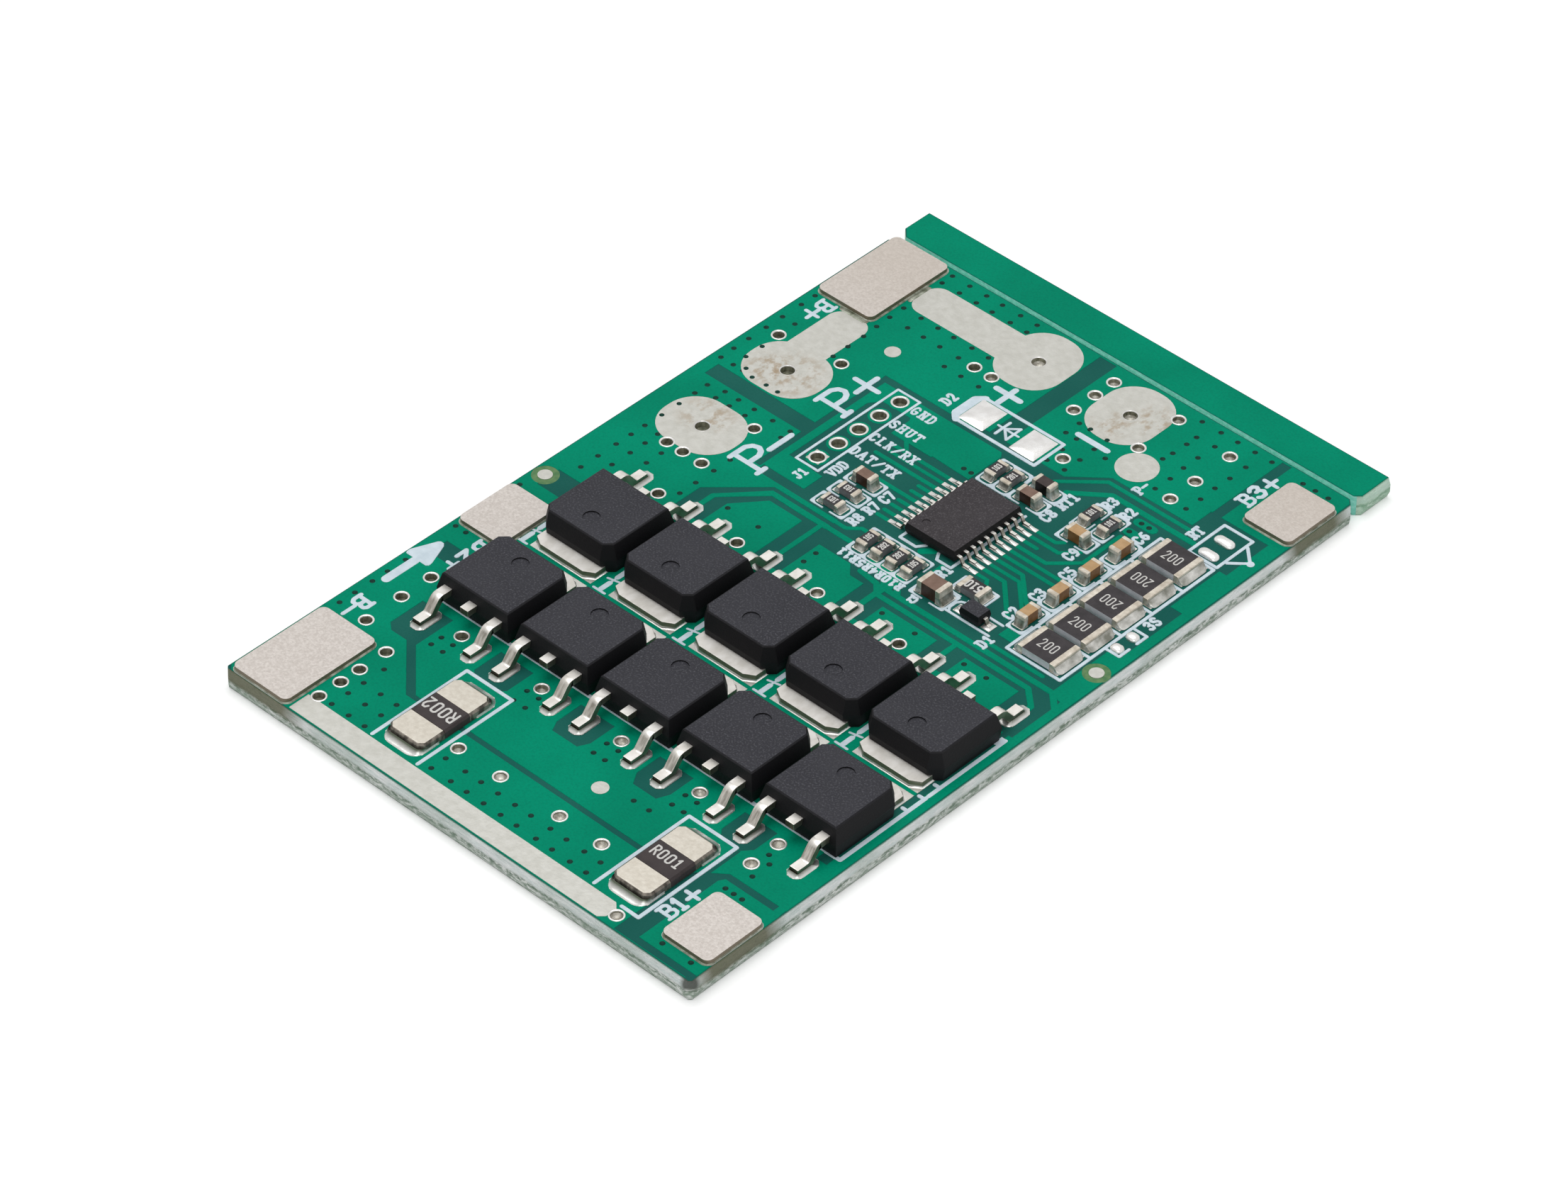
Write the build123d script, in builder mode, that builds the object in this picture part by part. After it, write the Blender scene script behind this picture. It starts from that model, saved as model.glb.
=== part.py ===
"""Battery management board: a bare circuit module with ten power transistors, five nickel cell tabs,
two current shunts, five balance resistors, one protection controller and its small parts.

Frame: millimetres, +Z up, origin under the middle of the board's underside, +Y along the long side
towards the scored rail. Plan places are measured from the near left corner of the board's top face.
"""

import os

from build123d import *

os.makedirs("parts", exist_ok=True)

# The board: its top face, the rail past the scored line, and its V-scored edges
board_width = 41.0
board_length = 62.28
board_thickness = 1.6
rail_width = 3.12
score_width = 0.39
score_depth = 0.5
corner_cut = 0.35
left_notch_depth = 0.87
right_notch_depth = 0.6

# Bare and soldered copper, and the plated holes
copper_height = 0.05
via_hole = 0.85
wire_hole = 1.03
wire_land_long = 6.3
wire_land_short = 5.2
wire_land_corner = 2.39
strip_left = 5.7
strip_right_inset = 7.6
strip_near = 0.12
strip_width = 1.68
strip_nose = 0.4
arm_width = 3.2
arm_corner = 1.1
test_land = 1.15
fiducial = 1.02
screw_land = 3.0
header_hole = 1.0
header_ring = 1.28
header_square = 1.13
header_pitch = 2.0
header_pins = 5
header_side_share = 0.35
small_round_sides = 14

# Nickel tabs that are spot-welded to the cells
tab_thickness = 0.35
tab_corner = 0.5
big_tab_width = 5.0
big_tab_length = 8.0
cell_tab_width = 4.0
cell_tab_length = 5.0
tab_land_lip = 0.08
tab_left_inset = 0.42
tab_right_inset = 0.1
cell_tab_left = 0.3

# Power transistors: a moulded body over a folded lead frame
row_clearance = 0.55
moulding_width = 6.5
moulding_length = 6.1
moulding_height = 2.25
moulding_gap = 0.65
side_draft = 0.3
base_draft = 0.12
moulding_corner = 0.8
moulding_edge = 0.08
ejector_mark = 1.2
ejector_depth = 0.1
ejector_shift = 1.3
frame_thickness = 0.5
shelf_height = 1.02
lead_width = 0.72
lead_spacing = 2.286
lead_reach = 2.75
lead_shelf = 0.85
lead_foot = 1.1
lead_bend = 0.45
lead_root = 0.9
neck_run = 1.65
neck_slope = 0.95
stub_reach = 0.72
slug_width = 5.35
slug_reach = 1.05
slug_corner_across = 0.75
slug_corner_along = 0.45
row_right_inset = 1.0
front_row_y = 16.87
row_gap = 2.95
drain_land_width = 5.54
drain_land_length = 6.5
front_drain_lip = 0.42
back_drain_lip = 0.12
lead_land_width = 1.22
lead_land_length = 2.3
lead_land_corner = 0.35
front_toe = 0.32
back_toe = 0.63

# Current shunts
shunt_length = 6.3
shunt_width = 3.2
shunt_height = 0.62
shunt_band = 2.15
shunt_corner = 0.4
shunt_edge = 0.15
shunt_land_lip = 0.6
shunt_land_corner = 0.6

# Balance resistors, in one column near the right edge
balance_start = 3.6
balance_end_inset = 11.8
balance_gap = 0.5
balance_length = 3.2
balance_width = 2.5
balance_height = 0.55
balance_cap = 0.45
balance_inset = 4.43

# Protection controller: a thin moulded body with gull-wing leads on two sides
controller_width = 4.4
controller_length = 6.5
controller_standoff = 0.1
controller_height = 0.95
controller_draft = 0.1
controller_leads_per_side = 10
controller_pitch = 0.65
controller_lead_width = 0.24
controller_lead_thickness = 0.14
controller_lead_height = 0.45
controller_lead_reach = 1.0
controller_shelf = 0.25
controller_foot = 0.5
controller_land_width = 0.34
controller_land_length = 1.15
controller_toe = 0.65
controller_mark = 0.6
controller_mark_inset = 1.0
mark_depth = 0.05

# Small diode
diode_width = 1.25
diode_length = 1.7
diode_height = 0.84
diode_standoff = 0.06
diode_draft = 0.07
diode_lead_width = 0.32
diode_lead_thickness = 0.14
diode_lead_height = 0.4
diode_lead_reach = 0.5
diode_shelf = 0.1
diode_foot = 0.25
diode_land_width = 0.8
diode_land_length = 0.75
diode_toe = 0.22

# Two-ended chips
small_chip_length = 1.6
small_chip_width = 0.8
small_resistor_height = 0.45
small_capacitor_height = 0.8
small_cap = 0.32
middle_chip_length = 2.0
middle_chip_width = 1.25
middle_resistor_height = 0.5
middle_capacitor_height = 1.0
middle_cap = 0.4
cap_proud = 0.02
cap_edge = 0.06
chip_land_reach = 0.3
chip_land_lip = 0.06

# Solder bridges and solder-filled lands
bridge_width = 0.8
long_bridge = 1.62
short_bridge = 0.98
bridge_height = 0.26
flood_length = 2.55
flood_width = 2.15
flood_height = 0.14
solder_edge = 0.1

# Values that follow from the ones above
blank_width = board_width + score_width
blank_length = score_width / 2 + board_length + score_width + rail_width
rail_line = board_length + score_width / 2
top = board_thickness
land = top + copper_height
transistor_pitch = moulding_width + moulding_gap
row_left = cell_tab_left + cell_tab_width + row_clearance
row_right = board_width - row_right_inset
transistors_per_row = int((row_right - row_left + moulding_gap) / transistor_pitch)
back_row_y = front_row_y + moulding_length + row_gap
row_end = back_row_y + moulding_length / 2 + lead_reach + back_toe
balance_pitch = balance_width + balance_gap
balance_space = board_length - balance_end_inset - row_end - balance_start
balance_count = int((balance_space + balance_gap) / balance_pitch)


def spot(x, y):
    """A plan place, from the near left corner of the top face, in the part's own frame."""
    return (x - board_width / 2, y + score_width / 2 - blank_length / 2)


def seat(x, y, turn=0, height=land):
    """Where a component stands: on its soldered lands, turned about the vertical."""
    across, along = spot(x, y)
    return Location((across, along, height), (0, 0, turn))


def finish(part, name):
    """Labels one finished sub-part and writes it."""
    part.label = name
    export_step(part, f"parts/{name}.step")


def place(shape, places, name):
    """Copies a shape that stands on z = 0 to each place and writes the copies as one sub-part."""
    with BuildPart() as placed:
        with Locations(*[seat(*where) for where in places]):
            add(shape)
    finish(placed.part, name)


# Where the big parts stand. What is near the right or the far edge is placed from that edge.
right = board_width
far = board_length
last_column = row_right - moulding_width / 2
first_column = last_column - (transistors_per_row - 1) * transistor_pitch
transistor_x = [first_column + column * transistor_pitch for column in range(transistors_per_row)]
front_row = [(x, front_row_y, 0) for x in transistor_x]
back_row = [(x, back_row_y, 180) for x in transistor_x]
shunts = [(13.3, 5.97, 90), (right - 8.1, 6.1, 90)]
controller_x = right - 16.75
controller_y = (row_end + far) / 2 - 4.665
balance_x = right - balance_inset
first_balance = row_end + balance_start + balance_width / 2
balance_y = [first_balance + row * balance_pitch for row in range(balance_count)]
balances = [(balance_x, y, 0) for y in balance_y]
diode = (controller_x + 6.7, controller_y - 6.23, 90)

# Where the small chips stand: beside the header, below, above and right of the controller
header_x = 12.63
header_side = header_x + header_side_share * (controller_x - header_x)
below_y = controller_y - 5.5
above_y = controller_y + 5.53
right_y = controller_y + 6.4
small_resistors = [(header_side, controller_y - offset, 0) for offset in (2.8, 4.35)]
small_resistors += [(controller_x - 3.3 + column * 1.31, below_y, 90) for column in range(4)]
small_resistors += [(controller_x - offset, above_y, 90) for offset in (2.05, 0.7)]
small_resistors += [(controller_x + offset, right_y, 90) for offset in (5.42, 7.03)]
thermistors = [(controller_x + 1.45, above_y + 0.82, 0)]
tan_capacitors = [(balance_x - 3.09, y + balance_pitch / 2, 90) for y in balance_y[:-1]]
tan_capacitors += [(controller_x + 6.25, controller_y + 4.15, 0)]
brown_capacitors = [(header_side, controller_y - 1.2, 0), (controller_x + 1.4, above_y - 0.68, 0)]
middle_resistors = [(controller_x + 4.95, controller_y - 4.41, 0)]
middle_capacitors = [(controller_x + 3.25, controller_y - 6.29, 0)]

# Where the plated holes are. The four wire lands each have one hole near their middle.
minus_land_y = controller_y - 4.45
plus_land_y = controller_y + 3.75
wire_spots = [(4.93, minus_land_y), (4.93, plus_land_y), (16.42, far - 3.51), (right - 16.4, far - 3.51)]
header_spots = [(header_x, controller_y - 1.48 + pin * header_pitch) for pin in range(header_pins)]
via_spots = [(x, 4.85) for x in (16.1, 19.85, right - 15.95, right - 12.3)]
via_spots += [(x, 12.4) for x in (3.1, 8.65, 15.87, right - 18.05, right - 11.22, right - 4.5)]
via_spots += [(6.28, y) for y in (2.15, 4.03, 5.68, 8.0)]
via_spots += [(x - 0.45, back_row_y + 5.28) for x in transistor_x[:-1]]
via_spots += [(x, minus_land_y - 2.8) for x in (4.4, 5.85, 7.58)]
via_spots += [(x, far - 6.93) for x in (13.7, 15.25)]
via_spots += [(21.5, far - offset) for offset in (5.68, 3.53, 1.63)]
via_spots += [(right - 13.8, far - offset) for offset in (5.68, 1.63)]
via_spots += [(right - 8.85, far - offset) for offset in (8.18, 5.68, 2.18)]
via_spots += [(3.12, 9.25), (3.1, 15.03), (right - 4.5, 10.0), (right - 7.2, 1.02)]
via_spots += [(7.58, minus_land_y + 2.2), (1.87, plus_land_y + 2.35), (7.05, plus_land_y + 3.0)]
via_spots += [(right - 16.65, far - 9.98)]


def plated_holes():
    """Cuts every plated hole out of the sketch that is being drawn."""
    for spots, diameter in ((wire_spots, wire_hole), (header_spots, header_hole)):
        with Locations(*[spot(*where) for where in spots]):
            Circle(diameter / 2, mode=Mode.SUBTRACT)
    with Locations(*[spot(*where) for where in via_spots]):
        RegularPolygon(via_hole / 2, small_round_sides, mode=Mode.SUBTRACT)


def score_section():
    """The two V cuts that face each other, seen along the scored line."""
    half = score_width / 2
    Polygon((-half, top), (half, top), (0, top - score_depth), align=None)
    Polygon((-half, 0), (half, 0), (0, score_depth), align=None)


# The blank: board and rail in one piece, snapped out of a panel along its scored edges
with BuildPart() as circuit_board:
    with BuildSketch() as blank:
        Rectangle(blank_width, blank_length)
        chamfer(blank.vertices().group_by(Axis.Y)[0], corner_cut + score_width / 2)
        for side, depth in ((-1, left_notch_depth), (1, right_notch_depth)):
            with Locations((side * blank_width / 2, spot(0, rail_line)[1])):
                RegularPolygon(depth + score_width / 2, 4, mode=Mode.SUBTRACT)
        plated_holes()
    extrude(amount=board_thickness)
    with BuildSketch(Plane.XZ):
        with Locations((-blank_width / 2, 0), (blank_width / 2, 0)):
            score_section()
    extrude(amount=blank_length / 2, both=True, mode=Mode.SUBTRACT)
    with BuildSketch(Plane.YZ):
        with Locations((-blank_length / 2, 0), (spot(0, rail_line)[1], 0)):
            score_section()
    extrude(amount=blank_width / 2, both=True, mode=Mode.SUBTRACT)
finish(circuit_board.part, "circuit_board")

# Nickel tabs: width, length, left edge, near edge
right_tab_left = right - tab_right_inset - cell_tab_width
plus_tab_near = far - 0.28 - big_tab_length
tabs = {
    "negative_battery_tab": (big_tab_width, big_tab_length, tab_left_inset, 0.1),
    "positive_battery_tab": (big_tab_width, big_tab_length, tab_left_inset, plus_tab_near),
    "first_cell_tab": (cell_tab_width, cell_tab_length, right_tab_left, 1.62),
    "second_cell_tab": (cell_tab_width, cell_tab_length, cell_tab_left, 20.1),
    "third_cell_tab": (cell_tab_width, cell_tab_length, right_tab_left, far - 1.6 - cell_tab_length),
}


def tab_outline(width, length, left, near, lip=0.0):
    """The rounded outline of one nickel tab, or of the land under it with a lip all round."""
    with Locations(spot(left + width / 2, near + length / 2)):
        RectangleRounded(width + 2 * lip, length + 2 * lip, tab_corner)


for tab_name, sizes in tabs.items():
    with BuildPart() as tab:
        with BuildSketch(Plane.XY.offset(land)):
            tab_outline(*sizes)
        extrude(amount=tab_thickness)
    finish(tab.part, tab_name)

# Bare tinned copper: the ground strip, the wire lands with their arms, test lands and header rings
wire_land_side = (wire_land_long, wire_land_short, wire_land_corner)
wire_land_upright = (wire_land_short, wire_land_long, wire_land_corner)
arm_length = plus_tab_near - plus_land_y - 1.4
rounded_lands = [
    (4.87, minus_land_y, *wire_land_side),
    (4.87, plus_land_y, *wire_land_side),
    (16.38, far - 3.5, *wire_land_upright),
    (right - 16.4, far - 3.53, *wire_land_upright),
    (4.4, (plus_land_y + plus_tab_near) / 2 + 0.5, arm_width, arm_length, arm_corner),
    (10.6, far - 3.63, 9.6, arm_width, arm_corner),
]
round_lands = [
    (right - 12.52, far - 7.28, screw_land),
    (8.65, far - 9.55, test_land),
    (right - 15.97, 8.42, test_land),
    (1.02, 27.42, fiducial),
    (right - 0.95, controller_y - 4.78, fiducial),
]
round_lands += [(*where, header_ring) for where in header_spots[1:]]
with BuildPart() as bare_lands:
    with BuildSketch(Plane.XY.offset(top)):
        with Locations(spot(strip_left, strip_near)):
            strip = Rectangle(right - strip_left - strip_right_inset, strip_width, align=Align.MIN)
        chamfer(strip.vertices().group_by(Axis.X)[-1], strip_nose)
        for x, y, across, along, corner in rounded_lands:
            with Locations(spot(x, y)):
                RectangleRounded(across, along, corner)
        for x, y, diameter in round_lands:
            with Locations(spot(x, y)):
                Circle(diameter / 2)
        with Locations(spot(*header_spots[0])):
            Rectangle(header_square, header_square)
        plated_holes()
    extrude(amount=copper_height)
finish(bare_lands.part, "bare_lands")


def moulded_block(width, length, base, parting, height, low_inset, high_inset, corner=0.0):
    """A moulded body with draft both ways from its parting line; its two far corners are cut."""
    outlines = []
    for level, inset in ((base, low_inset), (parting, 0), (height, high_inset)):
        with BuildSketch(Plane.XY.offset(level)) as outline:
            Rectangle(width - 2 * inset, length - 2 * inset)
            if corner:
                chamfer(outline.vertices().group_by(Axis.Y)[-1], corner - inset)
        outlines.append(outline.sketch)
    loft(outlines[:2])
    loft(outlines[1:])


def gull_wing(face, root, shelf, reach, foot, height, thickness, bend=0.0):
    """A lead's side profile: out of the body's face towards -Y, down, and flat on its land."""
    corners = [
        (face + root, height + thickness / 2),
        (face - shelf, height + thickness / 2),
        (face - reach + foot, thickness / 2),
        (face - reach, thickness / 2),
    ]
    with BuildLine() as run:
        if bend:
            FilletPolyline(*corners, radius=bend)
        else:
            Polyline(*corners)
    trace(run.line, line_width=thickness)


# One transistor on z = 0, leads towards -Y: the drain slug with its neck and stub, and two leads
lead_face = -moulding_length / 2
slug_far = moulding_length / 2 + slug_reach
slug_near = lead_face + neck_run
with BuildPart() as lead_frame:
    with BuildSketch() as slug:
        with Locations((0, slug_near)):
            Rectangle(slug_width, slug_far - slug_near, align=(Align.CENTER, Align.MIN))
        for side in (-1, 1):
            edge = side * slug_width / 2
            with BuildLine():
                Polyline(
                    (edge, slug_far),
                    (edge - side * slug_corner_across, slug_far),
                    (edge, slug_far - slug_corner_along),
                    close=True,
                )
            make_face(mode=Mode.SUBTRACT)
    extrude(amount=frame_thickness)
    with BuildSketch(Plane.YZ):
        with BuildLine():
            Polyline(
                (slug_near + neck_slope, frame_thickness / 2),
                (slug_near, frame_thickness / 2),
                (slug_near - neck_slope, shelf_height + frame_thickness / 2),
                (lead_face - stub_reach, shelf_height + frame_thickness / 2),
            )
        trace(line_width=frame_thickness)
    extrude(amount=lead_width / 2, both=True)
    for side in (-1, 1):
        with BuildSketch(Plane.YZ.offset(side * lead_spacing)):
            gull_wing(
                lead_face,
                lead_root,
                lead_shelf,
                lead_reach,
                lead_foot,
                shelf_height,
                frame_thickness,
                lead_bend,
            )
        extrude(amount=lead_width / 2, both=True)

with BuildPart() as moulding:
    moulded_block(
        moulding_width,
        moulding_length,
        0,
        shelf_height,
        moulding_height,
        base_draft,
        side_draft,
        moulding_corner,
    )
    chamfer(moulding.faces().sort_by(Axis.Z)[-1].edges(), moulding_edge)
    with BuildSketch(Plane.XY.offset(moulding_height)):
        with Locations((0, ejector_shift)):
            RegularPolygon(ejector_mark / 2, small_round_sides)
    extrude(amount=-ejector_depth, mode=Mode.SUBTRACT)
    add(lead_frame.part, mode=Mode.SUBTRACT)

for number, where in enumerate(front_row + back_row, start=1):
    place(moulding.part, [where], f"transistor_body_{number}")
    place(lead_frame.part, [where], f"transistor_leads_{number}")

# A current shunt along X: a flat metal strip with rounded ends, dark over its middle
with BuildPart() as shunt:
    with BuildSketch():
        strap = Rectangle(shunt_length, shunt_width)
        chamfer(strap.vertices(), shunt_corner)
    extrude(amount=shunt_height)
    chamfer(shunt.faces().sort_by(Axis.Z)[-1].edges(), shunt_edge)
with BuildPart() as shunt_middle:
    add(shunt.part)
    Box(shunt_band, shunt_width, 2 * shunt_height, mode=Mode.INTERSECT)
with BuildPart() as shunt_ends:
    add(shunt.part)
    Box(shunt_band, shunt_width, 2 * shunt_height, mode=Mode.SUBTRACT)
for number, where in enumerate(shunts, start=1):
    place(shunt_middle.part, [where], f"shunt_band_{number}")
    place(shunt_ends.part, [where], f"shunt_terminals_{number}")


def chip_body(length, width, height, cap):
    """The ceramic middle of a two-ended chip, along X."""
    with BuildPart() as body:
        with BuildSketch():
            Rectangle(length - 2 * cap, width)
        extrude(amount=height)
    return body.part


def chip_caps(length, width, height, cap):
    """The two metal end caps of a chip, a little proud of its body, with softened outer edges."""
    with BuildPart() as caps:
        with BuildSketch():
            with Locations((cap / 2 - length / 2, 0), (length / 2 - cap / 2, 0)):
                Rectangle(cap, width + 2 * cap_proud)
        extrude(amount=height + cap_proud)
        ends = caps.edges().group_by(Axis.X)
        chamfer([edge for edge in ends[0] + ends[-1] if edge.center().Z > height], cap_edge)
    return caps.part


balance_size = (balance_length, balance_width, balance_height, balance_cap)
for number, where in enumerate(balances, start=1):
    place(chip_body(*balance_size), [where], f"balance_resistor_{number}")
    place(chip_caps(*balance_size), [where], f"balance_terminals_{number}")

small_resistor = (small_chip_length, small_chip_width, small_resistor_height, small_cap)
small_capacitor = (small_chip_length, small_chip_width, small_capacitor_height, small_cap)
middle_resistor = (middle_chip_length, middle_chip_width, middle_resistor_height, middle_cap)
middle_capacitor = (middle_chip_length, middle_chip_width, middle_capacitor_height, middle_cap)
chip_groups = {
    "small_resistor": (small_resistor, small_resistors),
    "middle_resistor": (middle_resistor, middle_resistors),
    "thermistor": (small_capacitor, thermistors),
    "tan_capacitor": (small_capacitor, tan_capacitors),
    "brown_capacitor": (small_capacitor, brown_capacitors),
    "middle_capacitor": (middle_capacitor, middle_capacitors),
}
for group_name, (sizes, places) in chip_groups.items():
    place(chip_body(*sizes), places, f"{group_name}_bodies")
    place(chip_caps(*sizes), places, f"{group_name}_terminals")

# The controller: gull-wing leads on both long sides of a thin moulded body
controller_face = -controller_width / 2
controller_parting = controller_lead_height + controller_lead_thickness / 2
first_lead = -controller_pitch * (controller_leads_per_side - 1) / 2
lead_rows = [first_lead + lead * controller_pitch for lead in range(controller_leads_per_side)]
with BuildPart() as controller_lead:
    with BuildSketch(Plane.YZ):
        gull_wing(
            controller_face,
            controller_shelf,
            controller_shelf,
            controller_lead_reach,
            controller_foot,
            controller_lead_height,
            controller_lead_thickness,
        )
    extrude(amount=controller_lead_width / 2, both=True)
with BuildPart() as controller_leads:
    for turn in (90, -90):
        with Locations(*[Location((0, y, 0), (0, 0, turn)) for y in lead_rows]):
            add(controller_lead.part)
with BuildPart() as controller_body:
    moulded_block(
        controller_width,
        controller_length,
        controller_standoff,
        controller_parting,
        controller_height,
        controller_draft,
        controller_draft,
    )
    with BuildSketch(Plane.XY.offset(controller_height)):
        mark_x = controller_mark_inset - controller_width / 2
        mark_y = controller_mark_inset - controller_length / 2
        with Locations((mark_x, mark_y)):
            Circle(controller_mark / 2)
    extrude(amount=-mark_depth, mode=Mode.SUBTRACT)
    add(controller_leads.part, mode=Mode.SUBTRACT)
place(controller_body.part, [(controller_x, controller_y)], "controller_body")
place(controller_leads.part, [(controller_x, controller_y)], "controller_leads")

# The diode: a small moulded body with one lead at each end, along Y before it is turned
with BuildPart() as diode_lead:
    with BuildSketch(Plane.YZ):
        gull_wing(
            -diode_length / 2,
            diode_foot,
            diode_shelf,
            diode_lead_reach,
            diode_foot,
            diode_lead_height,
            diode_lead_thickness,
        )
    extrude(amount=diode_lead_width / 2, both=True)
with BuildPart() as diode_leads:
    with Locations(Location((0, 0, 0)), Location((0, 0, 0), (0, 0, 180))):
        add(diode_lead.part)
with BuildPart() as diode_body:
    moulded_block(
        diode_width,
        diode_length,
        diode_standoff,
        diode_lead_height + diode_lead_thickness / 2,
        diode_height,
        diode_draft,
        diode_draft,
    )
    add(diode_leads.part, mode=Mode.SUBTRACT)
place(diode_body.part, [diode], "diode_body")
place(diode_leads.part, [diode], "diode_leads")

# Solder bridges on jumper lands, and two lands flooded with solder where a part is left out
bridges = [(right - 3.4, far - 9.08, long_bridge), (right - 3.35, far - 10.73, long_bridge)]
bridges += [(right - 1.52, controller_y - offset, short_bridge) for offset in (0.65, 2.15)]
floods = [(17.55, far - 10.33), (22.08, far - 10.34)]
with BuildPart() as solder_beads:
    with BuildSketch(Plane.XY.offset(land)):
        for x, y, length in bridges:
            with Locations(spot(x, y)):
                SlotOverall(length, bridge_width)
    extrude(amount=bridge_height)
    with BuildSketch(Plane.XY.offset(land)):
        with Locations(*[spot(*where) for where in floods]):
            Rectangle(flood_width, flood_length)
    extrude(amount=flood_height)
    crowns = solder_beads.faces().filter_by(Axis.Z).filter_by(lambda face: face.center().Z > land)
    chamfer(crowns.edges(), solder_edge)
finish(solder_beads.part, "solder_beads")


def turned(x, y, turn):
    """A component's place in plan, for the sketch of its lands."""
    return Location((*spot(x, y), 0), (0, 0, turn))


def chip_lands(length, width, cap, places, reach=chip_land_reach):
    """Two lands under each chip's end caps, reaching past its ends."""
    land_length = cap + reach
    with Locations(*[turned(*where) for where in places]):
        with Locations((-(length + reach - cap) / 2, 0), ((length + reach - cap) / 2, 0)):
            return Rectangle(land_length, width + 2 * chip_land_lip)


# The lands under every soldered part, one sheet of tinned copper
transistor_rows = [(front_row, front_drain_lip, front_toe), (back_row, back_drain_lip, back_toe)]
with BuildPart() as soldered_lands:
    with BuildSketch(Plane.XY.offset(top)):
        for sizes in tabs.values():
            tab_outline(*sizes, lip=tab_land_lip)
        for row, drain_lip, toe in transistor_rows:
            with Locations(*[turned(*where) for where in row]):
                with Locations((0, slug_far + drain_lip)):
                    Rectangle(drain_land_width, drain_land_length, align=(Align.CENTER, Align.MAX))
                lead_tip = lead_face - lead_reach - toe
                with Locations((-lead_spacing, lead_tip), (lead_spacing, lead_tip)):
                    lead_land = Rectangle(lead_land_width, lead_land_length, align=(Align.CENTER, Align.MIN))
                chamfer(lead_land.vertices(), lead_land_corner)
        shunt_lands = chip_lands(shunt_length, shunt_width, (shunt_length - shunt_band) / 2, shunts, shunt_land_lip)
        chamfer(shunt_lands.vertices(), shunt_land_corner)
        chip_lands(balance_length, balance_width, balance_cap, balances)
        for (length, width, height, cap), places in chip_groups.values():
            chip_lands(length, width, cap, places)
        for side in (-1, 1):
            outer = side * (controller_width / 2 + controller_lead_reach + controller_toe)
            lands_at = [(outer, y) for y in lead_rows]
            with Locations(turned(controller_x, controller_y, 0)):
                with Locations(*lands_at):
                    Rectangle(
                        controller_land_length,
                        controller_land_width,
                        align=(Align.MIN if side < 0 else Align.MAX, Align.CENTER),
                    )
        with Locations(turned(*diode)):
            for side in (-1, 1):
                outer = side * (diode_length / 2 + diode_lead_reach + diode_toe)
                with Locations((0, outer)):
                    Rectangle(
                        diode_land_width,
                        diode_land_length,
                        align=(Align.CENTER, Align.MIN if side < 0 else Align.MAX),
                    )
        for x, y, length in bridges:
            with Locations(spot(x, y)):
                SlotOverall(length, bridge_width)
        with Locations(*[spot(*where) for where in floods]):
            Rectangle(flood_width, flood_length)
        plated_holes()
    extrude(amount=copper_height)
finish(soldered_lands.part, "soldered_lands")
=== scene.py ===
"""Looks of the battery management board: solder mask over its copper, printed marks, plated holes,
solder joints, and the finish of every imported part. Plan places are in millimetres from the near left
corner of the board's top face, and heights are in millimetres from its underside."""

import math

import bpy
import numpy as np
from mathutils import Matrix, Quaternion, Vector
from mathutils.geometry import delaunay_2d_cdt


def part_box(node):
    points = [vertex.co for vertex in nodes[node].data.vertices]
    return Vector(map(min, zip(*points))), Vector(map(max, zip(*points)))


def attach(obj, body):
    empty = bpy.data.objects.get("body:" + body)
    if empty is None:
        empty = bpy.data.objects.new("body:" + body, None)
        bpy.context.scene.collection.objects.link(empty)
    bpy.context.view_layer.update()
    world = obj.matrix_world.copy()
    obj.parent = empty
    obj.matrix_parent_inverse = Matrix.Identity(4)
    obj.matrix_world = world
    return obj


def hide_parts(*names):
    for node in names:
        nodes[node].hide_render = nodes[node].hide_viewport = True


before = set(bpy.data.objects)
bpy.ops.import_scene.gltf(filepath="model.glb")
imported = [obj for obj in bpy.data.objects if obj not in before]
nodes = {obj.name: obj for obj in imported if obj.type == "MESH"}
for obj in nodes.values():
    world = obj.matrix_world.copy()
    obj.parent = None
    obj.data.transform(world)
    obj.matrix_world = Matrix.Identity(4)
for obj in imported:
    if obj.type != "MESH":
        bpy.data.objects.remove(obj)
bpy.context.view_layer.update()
scene = bpy.context.scene

MM = 0.001
# from the near left corner to the middle of the part
CORNER_X = 20.5
CORNER_Y = 32.7975
# tops of the laminate, the lands, the mask over copper and the print on it
BOARD = 1.6
LAND = 1.65
POUR = 1.63
PRINT = 1.646


# Colours and materials


def linear(red, green, blue):
    """A colour written as 0 to 255, as the shader takes it."""
    parts = [value / 255 for value in (red, green, blue)]
    return (*[((part + 0.055) / 1.055) ** 2.4 if part > 0.04 else part / 12.92 for part in parts], 1)


def shade(colour, change):
    """A colour made lighter or darker, within 0 to 255."""
    return tuple(min(max(value + change, 0), 255) for value in colour)


class Wiring:
    """The nodes of one material or world."""

    def __init__(self, owner):
        owner.use_nodes = True
        self.tree = owner.node_tree

    def node(self, kind, values=(), **traits):
        """A new node, with some of its traits and sockets set."""
        made = self.tree.nodes.new(kind)
        for trait, value in traits.items():
            setattr(made, trait, value)
        for socket, value in dict(values).items():
            self.link(value, made.inputs[socket])
        return made

    def link(self, source, target):
        """Links a node's output, or sets a number, a vector, or a colour written as 0 to 255."""
        if isinstance(source, bpy.types.NodeSocket):
            self.tree.links.new(source, target)
        else:
            target.default_value = linear(*source) if target.type == "RGBA" else source

    def math(self, kind, first, second=0.0, third=0.0):
        return self.node("ShaderNodeMath", {0: first, 1: second, 2: third}, operation=kind).outputs[0]


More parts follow.
